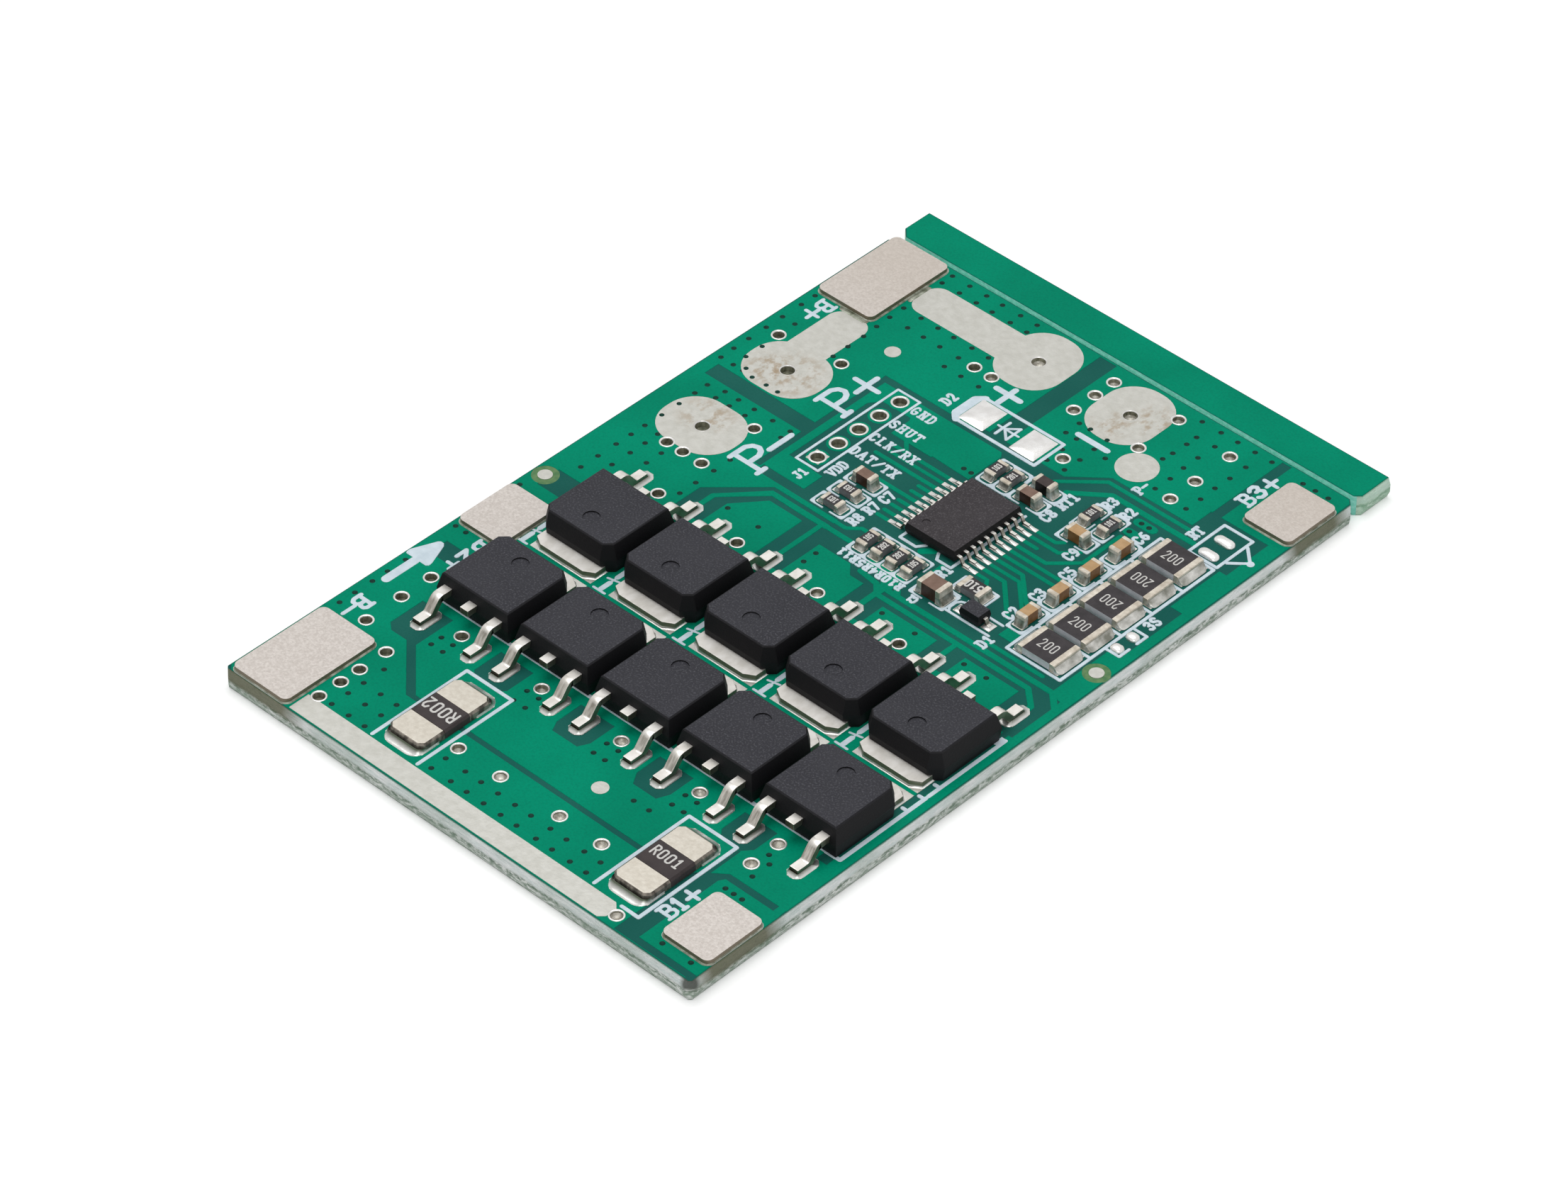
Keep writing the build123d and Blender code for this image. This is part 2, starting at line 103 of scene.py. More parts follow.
class Finish(Wiring):
    """One procedural material: noise between colours, fine bump, and set gloss."""

    def __init__(self, name, rough, metal=0.0, level=0.5):
        self.material = bpy.data.materials.new(name)
        super().__init__(self.material)
        self.shader = self.tree.nodes["Principled BSDF"]
        gloss = {"Roughness": rough, "Metallic": metal, "Specular IOR Level": level}
        for socket, value in gloss.items():
            self.shader.inputs[socket].default_value = value
        self.place = self.node("ShaderNodeTexCoord").outputs["Object"]
        self.geometry = self.node("ShaderNodeNewGeometry").outputs

    def noise(self, size, detail=3.0, stretch=(1, 1, 1), rough=0.55):
        """Noise whose grains are about size millimetres across."""
        place = self.node("ShaderNodeMapping", {"Vector": self.place, "Scale": stretch}).outputs[0]
        values = {"Vector": place, "Scale": 1000 / size, "Detail": detail, "Roughness": rough}
        return self.node("ShaderNodeTexNoise", values).outputs["Fac"]

    def ramp(self, source, low, high):
        """Source from low to high, as 0 to 1."""
        values = {"Value": source, "From Min": low, "From Max": high}
        return self.node("ShaderNodeMapRange", values).outputs["Result"]

    def drift(self, size, low=0.35, high=0.65, **details):
        """Noise that fills 0 to 1."""
        return self.ramp(self.noise(size, **details), low, high)

    def times(self, first, second):
        return self.math("MULTIPLY", first, second)

    def beside(self, source, middle):
        """How far a number is from a middle, either way."""
        return self.math("ABSOLUTE", self.math("SUBTRACT", source, middle))

    def mix(self, share, first, second, most=1.0):
        """The first colour where share is 0, and at most so much of the second where it is 1."""
        if most < 1:
            share = self.times(share, most)
        values = {"Factor": share, 6: first, 7: second}
        return self.node("ShaderNodeMix", values, data_type="RGBA").outputs[2]

    def axis(self, which, source="Position"):
        """One coordinate of the place, in metres, or of the surface's own direction."""
        return self.node("ShaderNodeSeparateXYZ", {0: self.geometry[source]}).outputs[which]

    def upward(self, low, high):
        """1 on faces that look up, 0 on flanks."""
        return self.ramp(self.axis(2, "Normal"), low, high)

    def around(self, x, y, z, reach, core):
        """1 at a place in millimetres, out to the core's share of reach, and 0 beyond reach."""
        centre = ((x - CORNER_X) * MM, (y - CORNER_Y) * MM, z * MM)
        values = {0: self.geometry["Position"], 1: centre}
        away = self.node("ShaderNodeVectorMath", values, operation="DISTANCE").outputs["Value"]
        return self.ramp(away, reach * MM, reach * core * MM)

    def colour(self, source):
        self.link(source, self.shader.inputs["Base Color"])

    def bump(self, height, depth, strength=1.0):
        """The finished material, with fine relief depth millimetres deep."""
        values = {"Height": height, "Distance": depth * MM, "Strength": strength}
        relief = self.node("ShaderNodeBump", values)
        self.link(relief.outputs["Normal"], self.shader.inputs["Normal"])
        return self.material


def speckled(name, first, second, size, rough, metal, grain, depth, level=0.5):
    """A plain finish whose colour drifts between two shades, over a fine grain."""
    finish = Finish(name, rough, metal, level)
    finish.colour(finish.mix(finish.drift(size), first, second))
    return finish.bump(finish.noise(grain, 2.0), depth)


def striped(name, first, second, size, rough, metal, depth, stretch=(1, 1, 1)):
    """Metal or solder with streaks, which stretch draws out along one axis."""
    finish = Finish(name, rough, metal)
    streak = finish.drift(size, 0.35, 0.68, detail=4.0, stretch=stretch)
    finish.colour(finish.mix(streak, first, second))
    return finish.bump(finish.noise(size * 0.5, 3.0, stretch), depth)


def mask_colour(finish, low, high):
    """Solder mask: slow drift of its depth, with fine dark grain."""
    body = finish.mix(finish.drift(7.0, detail=2.0), low, high)
    grain = finish.drift(0.16, 0.42, 0.72, detail=2.0)
    return finish.mix(grain, body, (0, 84, 70), 0.2)


def mask_over_copper():
    """The brighter green of mask that has copper under it."""
    finish = Finish("mask_over_copper", 0.36, level=0.03)
    finish.colour(mask_colour(finish, (0, 139, 107), (0, 150, 116)))
    return finish.bump(finish.noise(0.25, 2.0), 0.014, 0.6)


def board_finish():
    """Mask on the faces, and glass epoxy on the cut edges, grooves and hollows."""
    finish = Finish("board_edges_and_mask", 0.45, level=0.05)
    mask = mask_colour(finish, (22, 92, 84), (32, 102, 92))
    height = finish.axis(2)
    # a smooth pale upper band over torn glass bundles, with a broken dark rope between them
    wavy = finish.math("MULTIPLY_ADD", finish.noise(2.4), 0.4 * MM, height)
    lengthwise = finish.drift(0.4, 0.38, 0.62, detail=4.0, stretch=(0.3, 0.3, 2.2))
    pale = finish.mix(lengthwise, (226, 236, 234), (247, 250, 249))
    bundles = finish.noise(0.3, 5.0, (0.6, 0.6, 1.3), 0.65)
    torn = finish.mix(finish.ramp(bundles, 0.4, 0.6), (150, 168, 152), (244, 248, 244))
    epoxy = finish.mix(finish.ramp(wavy, 1.05 * MM, 1.25 * MM), torn, pale)
    rope = finish.ramp(finish.beside(wavy, 1.0 * MM), 0.2 * MM, 0.05 * MM)
    rope = finish.times(rope, finish.ramp(bundles, 0.58, 0.44))
    epoxy = finish.mix(rope, epoxy, (104, 124, 108), 0.7)
    # green rims along both faces
    epoxy = finish.mix(finish.ramp(height, 1.5 * MM, 1.58 * MM), epoxy, (92, 150, 128))
    epoxy = finish.mix(finish.ramp(height, 0.1 * MM, 0.02 * MM), epoxy, (120, 140, 120))
    # a slow drift of tint along the edges, and mint where the rail was snapped
    patchy = finish.drift(5.0, 0.42, 0.62, detail=2.0)
    epoxy = finish.mix(patchy, epoxy, (150, 172, 154), 0.34)
    snapped = finish.ramp(finish.axis(1), (62.5 - CORNER_Y) * MM, (62.9 - CORNER_Y) * MM)
    epoxy = finish.mix(snapped, epoxy, (176, 228, 192), 0.5)
    # painted shade from the tabs on the upper half of the edges below them, in the brown of flux, and a stain
    # of soot at the near right corner
    upper = finish.ramp(wavy, 0.8 * MM, 1.15 * MM)
    # flux here is only the brown of the painted shade below the tabs
    flux, soot = (108, 108, 80), (76, 80, 72)
    for x, y, reach, tone in (
        (2.4, -0.2, 5.2, flux), (41.2, 4.1, 4.2, flux), (41.2, 58.2, 3.4, flux),
        (-0.2, 22.6, 2.4, flux), (41.0, 0.0, 0.8, soot),
    ):
        stain_and_shade = finish.times(finish.around(x, y, 1.3, reach, 0.55), upper)
        epoxy = finish.mix(stain_and_shade, epoxy, tone, 0.88)
    # the smooth score between the board and its rail
    rail = finish.beside(finish.axis(1), (62.49 - CORNER_Y) * MM)
    scored = finish.math("LESS_THAN", rail, 0.34 * MM)
    weave = finish.drift(0.35, 0.4, 0.7, stretch=(1, 1, 1.6))
    epoxy = finish.mix(scored, epoxy, finish.mix(weave, (124, 210, 190), (160, 228, 214)))
    level = finish.ramp(finish.math("ABSOLUTE", finish.axis(2, "Normal")), 0.93, 0.97)
    finish.colour(finish.mix(level, epoxy, mask))
    # relief that is faint on the faces and in the score
    fibres = finish.times(finish.noise(0.5, 4.0, (0.35, 0.35, 4.0)), 2.0)
    relief = finish.math("ADD", fibres, finish.noise(0.12, 2.0))
    relief = finish.times(relief, finish.math("SUBTRACT", 1.0, finish.times(level, 0.9)))
    relief = finish.times(relief, finish.math("SUBTRACT", 1.0, finish.times(scored, 0.85)))
    return finish.bump(relief, 0.09)


def moulding_finish(name, top, side, grain):
    """Black compound: a frosted top face over smoother dark sides."""
    finish = Finish(name, 0.6, level=0.2)
    dust = finish.drift(grain, 0.5, 0.75, detail=2.0)
    face = finish.mix(dust, shade(top, -8), shade(top, 34))
    face = finish.mix(finish.drift(3.0), face, shade(top, 8), 0.35)
    finish.colour(finish.mix(finish.upward(0.75, 0.98), side, face))
    return finish.bump(finish.noise(grain), 0.02)


def lead_finish():
    """Tinned copper leads and slugs, their sloped faces darker as painted shade; the sheared ends of the
    leads show brown copper.
    """
    finish = Finish("tinned_leads", 0.34, 0.9)
    streak = finish.drift(0.9, 0.35, 0.68, stretch=(1.4, 0.8, 1))
    flat = finish.mix(streak, (218, 214, 206), (240, 237, 232))
    # the darker colour on sloped faces is painted shade
    brushed = finish.drift(0.16, 0.36, 0.66, stretch=(1, 0.15, 0.15))
    slope = finish.mix(brushed, (142, 136, 126), (206, 201, 192))
    lean = finish.math("ABSOLUTE", finish.axis(2, "Normal"))
    tin = finish.mix(finish.ramp(lean, 0.6, 0.95), slope, flat)
    # flanks mirror the mask, those of the slugs most, which end half way between the two rows
    halfway = finish.beside(finish.axis(1), (21.4 - CORNER_Y) * MM)
    outside = finish.math("GREATER_THAN", halfway, 1.5 * MM)
    mirrored = finish.math("SUBTRACT", 0.97, finish.times(outside, 0.37))
    mirrored = finish.times(finish.ramp(lean, 0.3, 0.12), mirrored)
    tin = finish.mix(mirrored, tin, (104, 112, 90))
    finish.link(finish.math("MULTIPLY_ADD", outside, 0.55, 0.3), finish.shader.inputs["Metallic"])
    finish.link(finish.math("MULTIPLY_ADD", outside, -0.16, 0.5), finish.shader.inputs["Roughness"])
    along = finish.math("ABSOLUTE", finish.axis(1, "Normal"))
    sheared = finish.times(finish.math("GREATER_THAN", along, 0.97), outside)
    finish.colour(finish.mix(sheared, tin, (96, 66, 52), 0.75))
    return finish.bump(finish.noise(0.5, 2.0), 0.006)


def land_finish():
    """Bare tinned copper with faint brown flux stains round the wire holes."""
    finish = Finish("tinned_land", 0.45, 0.5)
    tin = finish.mix(finish.drift(0.5, detail=4.0), (194, 193, 185), (205, 204, 197))
    patches = finish.drift(0.8, 0.47, 0.6, detail=6.0, stretch=(1, 0.7, 1), rough=0.7)
    for x, y, reach in (
        (5.6, 46.2, 3.0), (3.6, 45.6, 1.8), (26.2, 59.4, 2.0), (24.4, 57.2, 1.8), (4.4, 39.2, 2.4),
    ):
        stain_and_shade = finish.times(patches, finish.around(x, y, LAND, reach, 0.4))
        tin = finish.mix(stain_and_shade, tin, (156, 132, 100), 0.6)
    finish.colour(tin)
    return finish.bump(finish.noise(0.2), 0.012)


def nickel_finish():
    """Rolled nickel strip: a fine matt grain on its faces, darker sheared edges."""
    finish = Finish("rolled_nickel", 0.5, 0.45)
    face = finish.mix(finish.drift(0.16, 0.38, 0.66), (196, 188, 181), (215, 208, 202))
    # warmer at the far end of the board
    warm = finish.ramp(finish.axis(1), (50 - CORNER_Y) * MM, (60 - CORNER_Y) * MM)
    face = finish.mix(warm, face, (192, 180, 166), 0.4)
    finish.colour(finish.mix(finish.upward(0.35, 0.75), (126, 116, 98), face))
    return finish.bump(finish.noise(0.13), 0.012)


def joint_finish():
    """Solder: its own pale colour on the outer lip, partly a painted highlight, and painted shade tinted by a
    painted reflection of the green mask where it climbs a part.
    """
    finish = Finish("joint_solder", 0.3, 0.75)
    lip = finish.mix(finish.drift(0.5, 0.35, 0.68), (220, 218, 215), (240, 238, 235))
    # painted shade with a painted reflection of the mask, where the solder climbs a part
    climb = finish.ramp(finish.axis(2), (LAND + 0.05) * MM, (LAND + 0.26) * MM)
    finish.colour(finish.mix(climb, lip, (96, 104, 88)))
    return finish.bump(finish.noise(0.3), 0.006)


def shunt_finish():
    """Plated shunt ends: matt faces over flanks painted brown-grey, a painted reflection of the board."""
    finish = Finish("shunt_alloy", 0.46, 0.55)
    face = finish.mix(finish.drift(0.3, 0.35, 0.68, detail=4.0), (200, 193, 180), (214, 208, 196))
    # the flanks' brown-grey is a painted reflection of the board
    patchy_reflection = finish.drift(0.5, 0.4, 0.62, stretch=(1, 1, 0.5))
    flank = finish.mix(patchy_reflection, (74, 68, 62), (142, 134, 124))
    finish.colour(finish.mix(finish.upward(0.72, 0.96), flank, face))
    return finish.bump(finish.noise(0.25), 0.012)


def chip_body_finish(name, top, side):
    """A chip's middle: a top over flanks of another colour, chosen by which way a face looks; black glaze
    over pale ceramic on the resistors, and painted shade where flanks are darker than the body.
    """
    finish = Finish(name, 0.42, level=0.3)
    drift = finish.drift(0.5)
    face = finish.mix(drift, top, shade(top, 14))
    flank = finish.mix(drift, side, shade(side, -16))
    finish.colour(finish.mix(finish.upward(0.6, 0.9), flank, face))
    return finish.bump(finish.noise(0.1, 2.0), 0.006)


finishes = {
    "pour": mask_over_copper(),
    "board": board_finish(),
    "silk": speckled("white_print", (206, 222, 232), (222, 236, 245), 0.6, 0.62, 0.0, 0.12, 0.01),
    "land": land_finish(),
    "joint_land": striped("joint_land", (206, 204, 198), (228, 226, 220), 0.8, 0.35, 0.8, 0.006),
    "nickel": nickel_finish(),
    "joint": joint_finish(),
    "slab": striped(
        "balance_solder", (132, 132, 122), (240, 238, 233), 1.0, 0.3, 0.75, 0.04, (1, 0.7, 1)
    ),
    "seam": striped("tab_seam", (98, 104, 84), (178, 182, 168), 0.6, 0.42, 0.5, 0.012),
    "bead": striped("domed_solder", (232, 230, 227), (248, 247, 245), 0.8, 0.26, 0.9, 0.003),
    "leads": lead_finish(),
    "moulding": moulding_finish("moulding", (54, 54, 60), (18, 17, 20), 0.13),
    "controller": moulding_finish("controller_moulding", (60, 56, 59), (24, 22, 23), 0.11),
    "shunt": shunt_finish(),
    "band": speckled("shunt_coating", (54, 47, 48), (66, 58, 58), 0.9, 0.55, 0.0, 0.1, 0.02, 0.25),
    "resistor": chip_body_finish("resistor_glaze", (42, 37, 40), (216, 217, 222)),
    # the small resistors' grey flanks are painted shade on pale ceramic
    "small_resistor": chip_body_finish("small_resistor_glaze", (36, 33, 35), (128, 128, 130)),
    "terminal": striped("chip_terminal", (188, 178, 162), (226, 218, 204), 0.5, 0.4, 0.6, 0.012),
    "fillet": striped(
        "chip_fillet", (118, 118, 106), (210, 208, 200), 0.5, 0.32, 0.75, 0.01, (1, 1, 0.5)
    ),
    # these bodies are one ceramic throughout; their darker flanks are painted shade
    "thermistor": chip_body_finish("thermistor_ceramic", (52, 40, 38), (34, 24, 22)),
    "tan": chip_body_finish("tan_ceramic", (186, 150, 106), (134, 96, 58)),
    "brown": chip_body_finish("brown_ceramic", (122, 96, 82), (76, 52, 42)),
    "dimple": speckled("sunk_mask", (2, 46, 38), (8, 62, 50), 0.2, 0.4, 0.0, 0.1, 0.01, 0.1),
    "halo": speckled("bare_epoxy", (84, 128, 84), (112, 144, 98), 0.4, 0.5, 0.0, 0.12, 0.01, 0.15),
    # the barrels' dull olive is painted shade inside the holes
    "barrel": striped(
        "plated_barrel_painted_shade", (98, 100, 82), (172, 170, 152), 0.3, 0.42, 0.3, 0.01, (1, 1, 0.3)
    ),
    "flux": speckled("dull_plug", (96, 98, 80), (150, 148, 128), 0.3, 0.5, 0.1, 0.2, 0.03, 0.3),
    "cup": speckled("solder_cup", (150, 145, 132), (214, 210, 200), 0.35, 0.4, 0.4, 0.2, 0.02),
    "mark": speckled("value_print", (206, 204, 200), (222, 220, 216), 0.3, 0.6, 0.0, 0.1, 0.006),
}


# Mesh makers


class Soup:
    """Corners in millimetres and faces, gathered into one mesh."""

    def __init__(self):
        self.corners = []
        self.faces = []

    def add(self, corners, faces):
        start = len(self.corners)
        self.corners += corners
        self.faces += [[start + index for index in face] for face in faces]


def piece(name, soup, finish, smooth=True):
    """Gathered faces as one shown piece that rides on the board."""
    mesh = bpy.data.meshes.new(name)
    placed = [((x - CORNER_X) * MM, (y - CORNER_Y) * MM, z * MM) for x, y, z in soup.corners]
    mesh.from_pydata(placed, [], soup.faces)
    mesh.validate()
    if smooth:
        mesh.shade_smooth()
        mesh.set_sharp_from_angle(angle=math.radians(50))
    mesh.materials.append(finishes[finish])
    made = bpy.data.objects.new(name, mesh)
    scene.collection.objects.link(made)
    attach(made, "root")
    return made


def rect(left, near, right, far):
    return [(left, near), (right, near), (right, far), (left, far)]


def pairs(flat):
    """Places in plan from numbers written as x, y, x, y."""
    return list(zip(flat[::2], flat[1::2]))


def disc(x, y, radius, count=18):
    steps = [math.tau * step / count for step in range(count)]
    return [(x + radius * math.cos(angle), y + radius * math.sin(angle)) for angle in steps]


def rounded(x, y, across, along, corner, steps=5):
    """A rounded rectangle round a centre, the same number of points at each corner."""
    outline = []
    quarters = ((1, -1, -90), (1, 1, 0), (-1, 1, 90), (-1, -1, 180))
    for side, end, start in quarters:
        middle_x = x + side * (across / 2 - corner)
        middle_y = y + end * (along / 2 - corner)
        for step in range(steps):
            angle = math.radians(start + 90 * step / (steps - 1))
            outline.append((middle_x + corner * math.cos(angle), middle_y + corner * math.sin(angle)))
    return outline


def stroke(points, width, steps=4):
    """A drawn line with round ends and joints, as one capsule a run."""
    capsules = []
    for (x0, y0), (x1, y1) in zip(points, points[1:]):
        heading = math.atan2(y1 - y0, x1 - x0)
        outline = []
        for x, y, start in ((x1, y1, heading - math.pi / 2), (x0, y0, heading + math.pi / 2)):
            for step in range(steps + 1):
                angle = start + math.pi * step / steps
                outline.append((x + width / 2 * math.cos(angle), y + width / 2 * math.sin(angle)))
        capsules.append(outline)
    return capsules


def turned(points, x, y, turn):
    """Points about the origin, turned and moved to a place in plan."""
    cosine = math.cos(math.radians(turn))
    sine = math.sin(math.radians(turn))
    return [(x + a * cosine - b * sine, y + a * sine + b * cosine) for a, b in points]


def covered(points, shapes):
    """Which points the drawing covers: the last shape over a point decides."""
    on = np.zeros(len(points), bool)
    for adds, outline in shapes:
        edge = np.array(outline)
        inside_box = (points >= edge.min(0)).all(1) & (points <= edge.max(0)).all(1)
        near = np.nonzero(inside_box)[0]
        if not len(near):
            continue
        px = points[near, 0][:, None]
        py = points[near, 1][:, None]
        ax, ay = edge[:, 0], edge[:, 1]
        bx, by = np.roll(ax, -1), np.roll(ay, -1)
        rise = np.where(by == ay, 1e-12, by - ay)
        crossing = (ay > py) != (by > py)
        hits = crossing & (px < ax + (py - ay) * (bx - ax) / rise)
        on[near[hits.sum(1) % 2 == 1]] = adds
    return on


def sheet_of(shapes, low, high, skirt):
    """A thin printed layer: its flat top, and a sloped edge down to low."""
    corners, edges = [], []
    for _, outline in shapes:
        start = len(corners)
        count = len(outline)
        corners += [Vector(point) for point in outline]
        edges += [(start + index, start + (index + 1) % count) for index in range(count)]
    made = delaunay_2d_cdt(corners, edges, [], 0, 1e-5)
    plan = np.array([point[:] for point in made[0]])
    faces = np.array([list(face) for face in made[2]])
    faces = faces[covered(plan[faces].mean(1), shapes)]
    a, b, c = (plan[faces[:, index]] for index in range(3))
    area = (b[:, 0] - a[:, 0]) * (c[:, 1] - a[:, 1]) - (b[:, 1] - a[:, 1]) * (c[:, 0] - a[:, 0])
    faces = np.where((area < 0)[:, None], faces[:, ::-1], faces)
    faces = faces[np.abs(area) > 1e-9]
    runs = set()
    for i, j, k in faces.tolist():
        runs |= {(i, j), (j, k), (k, i)}
    rim = [run for run in runs if (run[1], run[0]) not in runs]
    away = {}
    for i, j in rim:
        dx, dy = plan[j] - plan[i]
        length = math.hypot(dx, dy) or 1.0
        for index in (i, j):
            known = away.setdefault(index, [0.0, 0.0])
            known[0] += dy / length
            known[1] -= dx / length
    soup = Soup()
    used = sorted(set(faces.ravel().tolist()))
    number = {index: order for order, index in enumerate(used)}
    soup.corners = [(float(plan[index][0]), float(plan[index][1]), high) for index in used]
    soup.faces = [[number[index] for index in face] for face in faces.tolist()]
    foot = {}
    for index, (dx, dy) in sorted(away.items()):
        length = math.hypot(dx, dy) or 1.0
        foot[index] = len(soup.corners)
        x, y = plan[index]
        soup.corners.append((float(x + skirt * dx / length), float(y + skirt * dy / length), low))
    soup.faces += [[number[i], foot[i], foot[j], number[j]] for i, j in sorted(rim)]
    return soup


def bands(rings, count):
    """Faces between neighbouring rings of count corners each."""
    faces = []
    for low in range(0, (rings - 1) * count, count):
        for step in range(count):
            after = (step + 1) % count
            faces.append([low + step, low + after, low + count + after, low + count + step])
    return faces


def revolve(soup, x, y, profile, count=20, closed=False):
    """A turned shape: profile is (radius, height) from outside in."""
    corners = [(a, b, height) for radius, height in profile for a, b in disc(x, y, radius, count)]
    faces = bands(len(profile), count)
    if closed:
        faces.append([(len(profile) - 1) * count + step for step in range(count)])
    soup.add(corners, faces)


def mound(soup, outer, inner, low, high, steps=6, bulge=0.2, power=2.4, top=None):
    """Solder that climbs from an outline on its land to an outline on the part it holds."""
    count = len(outer)
    corners = []
    for step in range(steps + 1):
        share = step / steps
        height = low + (high - low) * (bulge * math.sqrt(share) + (1 - bulge) * share**power)
        for (x0, y0), (x1, y1) in zip(outer, inner):
            corners.append((x0 + (x1 - x0) * share, y0 + (y1 - y0) * share, height))
    faces = bands(steps + 1, count)
    if top is not None:
        corners.append((*top, high))
        last = steps * count
        faces += [[last + step, last + (step + 1) % count, len(corners) - 1] for step in range(count)]
    soup.add(corners, faces)


def dome(soup, outline, centre, low, high, steps=6):
    """A bead with a full rounded crown over an outline."""
    corners = []
    for step in range(steps + 1):
        angle = math.pi / 2 * step / steps
        reach = math.cos(angle) ** 0.7 if step < steps else 0.0
        height = low + (high - low) * math.sin(angle)
        for x, y in outline:
            corners.append((centre[0] + (x - centre[0]) * reach, centre[1] + (y - centre[1]) * reach, height))
    soup.add(corners, bands(steps + 1, len(outline)))


# Where things are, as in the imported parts

transistor_x = [8.15, 15.3, 22.45, 29.6, 36.75]
front_row = [(x, 16.87, 0) for x in transistor_x]
back_row = [(x, 25.92, 180) for x in transistor_x]
balance_x = 36.57
balance_y = [37.2, 40.2, 43.2, 46.2, 49.2]
diode_x, diode_y = 30.95, 36.42
controller_x = 24.25
wire_spots = [(4.93, 38.2), (4.93, 46.4), (16.42, 58.77), (24.6, 58.77)]
header_spots = [(12.63, 41.17 + 2 * pin) for pin in range(5)]
fiducial_spots = [(1.02, 27.42), (40.05, 37.87)]
via_spots = [(x, 4.85) for x in (16.1, 19.85, 25.05, 28.7)]
via_spots += [(x, 12.4) for x in (3.1, 8.65, 15.87, 22.95, 29.78, 36.5)]
via_spots += [(6.28, y) for y in (2.15, 4.03, 5.68, 8.0)]
via_spots += [(x - 0.45, 31.2) for x in transistor_x[:-1]]
via_spots += [(x, 35.4) for x in (4.4, 5.85, 7.58)]
via_spots += [(x, 55.35) for x in (13.7, 15.25)]
via_spots += [(21.5, y) for y in (56.6, 58.75, 60.65)]
via_spots += [(27.2, y) for y in (56.6, 60.65)]
via_spots += [(32.15, y) for y in (54.1, 56.6, 60.1)]
via_spots += [(3.12, 9.25), (3.1, 15.03), (36.5, 10.0), (33.8, 1.02), (7.58, 40.4), (1.87, 48.75)]
via_spots += [(7.05, 49.4), (24.35, 52.3)]
filled_vias = {(x, 4.85) for x in (19.85, 25.05, 28.7)} | {(x, 12.4) for x in (22.95, 29.78, 36.5)}
filled_vias |= {(36.5, 10.0), (33.8, 1.02)}
half_filled = {(16.1, 4.85), (15.87, 12.4), (22.0, 31.2), (29.15, 31.2)}

small_rows = [
    ((7.4, 8.95, 10.4), (4.97, 3.62, 2.2)),
    ((16.2, 17.95, 19.35, 20.85, 22.35, 23.75, 25.45, 26.85, 28.4, 29.8), (3.65, 2.4)),
    ((2.15, 3.45, 4.95), (32.9, 34.3)), ((3.5, 4.75, 6.2, 9.5), (41.85, 40.95)),
    ((0.75, 1.9, 2.8, 3.65, 5.0, 6.05), (44.3,)), ((0.7, 1.9), (45.6, 47.05)),
    ((6.0,), (49.65, 51.15, 52.65, 54.0)), ((12.2, 13.7, 15.3), (54.0,)),
    ((5.95, 7.6, 9.05, 10.55, 12.25), (55.35,)),
    ((5.95, 7.55, 9.1, 10.55, 12.2, 13.7), (56.75, 60.6, 61.65)),
    ((28.45, 30.1, 31.55, 33.05, 34.5), (61.6,)), ((37.4, 38.45, 39.55), (61.33,)),
    ((36.9, 37.6, 38.3), (7.3,)), ((22.7, 23.65, 25.2), (55.8, 54.45)),
    ((22.45, 23.45, 29.3, 30.3), (10.42, 11.6)), ((15.35, 16.4), (10.4, 11.6)),
    ((7.8, 8.85), (10.5, 11.4)),
]
small_vias = [(x, y) for across, along in small_rows for x in across for y in along]
small_vias += [(0.65, y) for y in (10.6, 9.25, 15.1, 13.5, 12.15)]
small_vias += pairs([
    7.4, 6.75, 27.35, 9.02, 28.65, 9.05, 37.5, 1.2, 39.9, 1.2, 37.35, 10.7, 37.35, 9.2, 36.75, 11.3,
    0.55, 19.7, 1.5, 19.7, 0.55, 25.55, 2.15, 29.6, 2.15, 31.2, 3.45, 31.2, 8.7, 32.2, 8.7, 33.7,
    12.0, 33.3, 14.75, 33.3, 19.25, 34.0, 19.25, 32.85, 26.35, 32.65, 29.2, 32.65, 33.45, 32.65,
    35.35, 32.65, 2.15, 35.6, 3.4, 35.55, 8.7, 35.4, 8.7, 36.95, 2.15, 37.15, 2.15, 38.85, 2.15, 40.35,
    2.15, 41.55, 7.9, 41.85, 0.7, 48.75, 0.7, 50.35, 1.85, 50.35, 0.7, 52.2, 0.7, 53.55, 20.35, 47.0,
    21.0, 47.0, 26.35, 54.25, 25.25, 52.97, 23.7, 52.97, 23.7, 51.45, 25.2, 51.5, 30.8, 55.65,
    33.6, 55.45, 30.75, 54.2, 33.55, 54.05, 32.45, 50.9, 33.1, 50.9, 32.4, 49.75, 29.25, 60.1,
    29.25, 59.1, 29.2, 57.75, 29.1, 56.85, 30.75, 60.2, 30.7, 58.55, 30.7, 57.1, 33.6, 60.0, 33.6, 58.4,
    33.55, 56.95,
])

